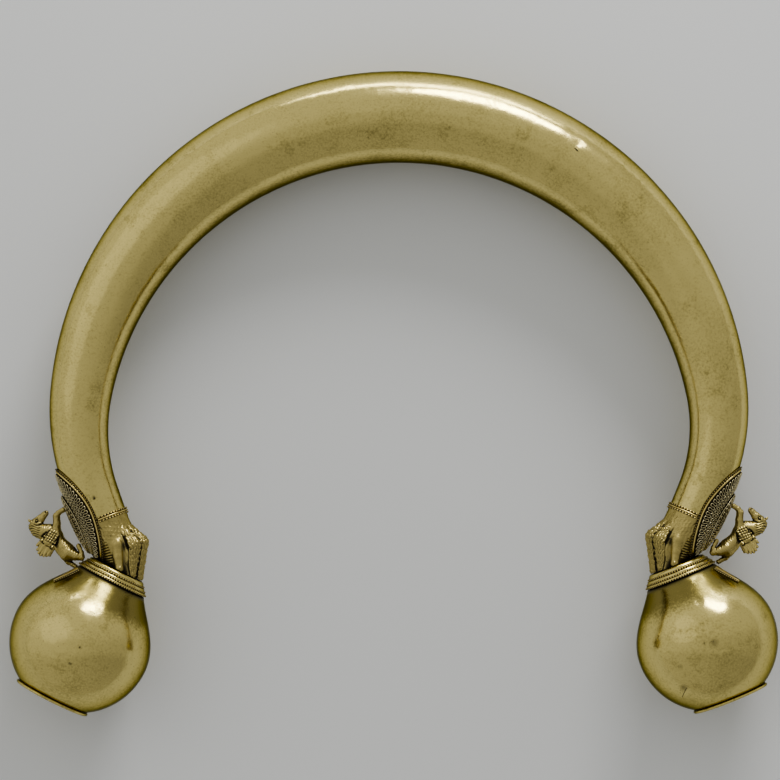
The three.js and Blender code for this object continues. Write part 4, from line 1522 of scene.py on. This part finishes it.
class TORC_OT_pads(TorcOperator, bpy.types.Operator):
    """Makes the filigree pads, their ridges and borders, and the wires round the ankles"""

    bl_idname = "torc.pads"
    bl_label = "Filigree"

    def make(self):
        spacing = 2 * sizes("wires").radius + sizes("wires").gap
        edge = sizes("wires").radius + sizes("wires").gap * 0.5
        for arm in map(Arm, ARMS):
            add = arm_maker(arm)
            add("filigree_pad", pad_shells(arm), "filigree_gold")
            add("filigree_ridge", ridge_shells(arm), "filigree_gold")
            add("pad_wire", pad_border(arm, -edge, False), "wire_gold")
            add("pad_beads", pad_border(arm, -edge - spacing, True), "wire_gold")
            for name, step, beaded in (
                ("ankle_beads_upper", -1, True),
                ("ankle_wire", 0, False),
                ("ankle_beads_lower", 1, True),
            ):
                add(name, [ankle_ring(arm, step, beaded)], "wire_gold")


class TORC_OT_paws(TorcOperator, bpy.types.Operator):
    """Models both lion's paws"""

    bl_idname = "torc.paws"
    bl_label = "Paws"

    def make(self):
        for arm in map(Arm, ARMS):
            arm_maker(arm, arm.from_leg)("paw", [paw_shell(arm)], "cast_gold")


class TORC_OT_horses(TorcOperator, bpy.types.Operator):
    """Models the winged horses"""

    bl_idname = "torc.horses"
    bl_label = "Winged horses"

    def make(self):
        scale = sizes("horse").height / DRAWN_HEIGHT
        figure = horse_shell()
        pad = sizes("pad")
        for arm in map(Arm, ARMS):
            out = arm.hoop.ankle + 2 * arm.wires.seam + pad.thickness + pad.ridge_height
            rim = arm.mouth - arm.inward * arm.globe.mouth
            stand = np.array([out, rim[1] + arm.climb, 0])
            add = arm_maker(arm, lambda points: arm.from_leg(points * scale + stand))
            add("winged_horse", [figure], "cast_gold")


def arm_maker(arm, place=lambda points: points):
    """A way to add pieces on an arm, given how their points go into the arm's frame."""

    def add(name, shells, slot):
        make_piece(f"{arm.name}_{name}", shells, lambda points: arm.to_row(place(points)), slot)

    return add


def foot_maker(arm):
    """A way to add pieces drawn in the foot's frame."""
    return arm_maker(arm, arm.from_foot)


class TORC_OT_stage(TorcOperator, bpy.types.Operator):
    """Makes the pale floor, the soft lights and the camera"""

    bl_idname = "torc.stage"
    bl_label = "Stage"

    def make(self):
        stage = sizes("stage")
        make_floor(stage)
        make_lights(stage)
        make_camera(stage)


def make_floor(stage):
    """A plain pale floor, a little uneven in tone."""
    finish = Finish(bpy.data.materials.new("pale_floor"))
    place = finish.node("ShaderNodeTexCoord", output="Object")
    shade = finish.noise(place, 6, 3, 0.5)
    darker = tuple(part * 0.96 for part in stage.floor)
    base = finish.mix(shade, stage.floor, darker)
    surface = finish.node("ShaderNodeBsdfPrincipled", {}, {"Base Color": base, "Roughness": 0.85})
    finish.node("ShaderNodeOutputMaterial", {}, {"Surface": surface})
    reach = 4.0
    mesh = bpy.data.meshes.new("floor")
    corners = [(-reach, -reach, 0), (reach, -reach, 0), (reach, reach, 0), (-reach, reach, 0)]
    mesh.from_pydata(corners, [], [(0, 1, 2, 3)])
    mesh.materials.append(finish.owner)
    linked("floor", mesh)


def make_lights(stage):
    """A soft light and a low strip beyond the crown, a big soft one up on the left, and an even room."""
    aim = Vector((0, 0, 0.02))
    plans = [
        ("key_light", (0.24, 0.84, 0.38), (0.46, 0.27), stage.key),
        ("rim_light", (0.08, 0.9, 0.1), (0.78, 0.135), stage.rim),
        ("top_light", (-0.7, 0.4, 0.8), (1.0, 1.0), stage.top),
    ]
    for name, spot, (wide, tall), watts in plans:
        light = bpy.data.lights.new(name, "AREA")
        light.shape = "ELLIPSE"
        light.size = wide
        light.size_y = tall
        light.energy = watts
        light.color = (1.0, 0.99, 0.97)
        lamp = linked(name, light)
        lamp.location = spot
        lamp.rotation_euler = (aim - lamp.location).to_track_quat("-Z", "Y").to_euler()
    make_room(stage)


def make_room(stage):
    """Even light from all round, brighter beyond the crown and a little brighter on the left."""
    room = Finish(bpy.data.worlds.new("room"))
    way = room.node("ShaderNodeTexCoord", output="Generated")
    across = room.part(way, "X")
    ahead = room.part(way, "Y")
    glow = (1 - across * 0.22) * stage.room + ahead.over(-0.42, -0.14) * 0.09 + ahead.over(0.0, 0.4) * 0.1
    light = room.node("ShaderNodeBackground", {}, {"Color": (1, 1, 0.95, 1), "Strength": glow})
    room.node("ShaderNodeOutputWorld", {}, {"Surface": light})
    bpy.context.scene.world = room.owner


def make_camera(stage):
    """Looks straight down on the torc, with the crown at the top of the picture."""
    low, high = (Vector(corner) for corner in CAD_BOX)
    camera = bpy.data.cameras.new("camera")
    camera.lens = stage.lens
    camera.dof.use_dof = False
    stand = linked("camera", camera)
    distance = stage.width * MM * camera.lens / camera.sensor_width
    aside, ahead = -1.2 * MM, 0.8 * MM
    stand.location = ((low.x + high.x) / 2 + aside, (low.y + high.y) / 2 + ahead, 20 * MM + distance)
    camera.clip_end = 20
    bpy.context.scene.camera = stand
    view = bpy.context.scene.view_settings
    view.view_transform = "AgX"
    view.look = "AgX - Medium High Contrast"
    view.exposure = stage.exposure


OPERATORS = [
    TORC_OT_stage,
    TORC_OT_hoop,
    TORC_OT_globes,
    TORC_OT_collars,
    TORC_OT_pads,
    TORC_OT_paws,
    TORC_OT_horses,
]


class TORC_PT_panel(bpy.types.Panel):
    """Lists what can be made and changed"""

    bl_idname = "TORC_PT_panel"
    bl_label = "Gold torc"
    bl_space_type = "VIEW_3D"
    bl_region_type = "UI"
    bl_category = "Torc"

    def draw(self, context):
        for operator in OPERATORS:
            self.layout.operator(operator.bl_idname)
        for name, group in GROUPS.items():
            box = self.layout.box()
            box.label(text=name.capitalize())
            for key in group.__annotations__:
                box.prop(getattr(context.scene.torc, name), key)


CLASSES = [*GROUPS.values(), TorcSettings, *OPERATORS, TORC_PT_panel]


def register():
    for each in CLASSES:
        bpy.utils.register_class(each)
    bpy.types.Scene.torc = PointerProperty(type=TorcSettings)


def unregister():
    del bpy.types.Scene.torc
    for each in reversed(CLASSES):
        bpy.utils.unregister_class(each)


def main():
    register()
    bpy.ops.torc.stage()
    bpy.ops.torc.hoop()
    bpy.ops.torc.globes()
    bpy.ops.torc.collars()
    bpy.ops.torc.pads()
    bpy.ops.torc.paws()
    bpy.ops.torc.horses()


if __name__ == "__main__":
    main()
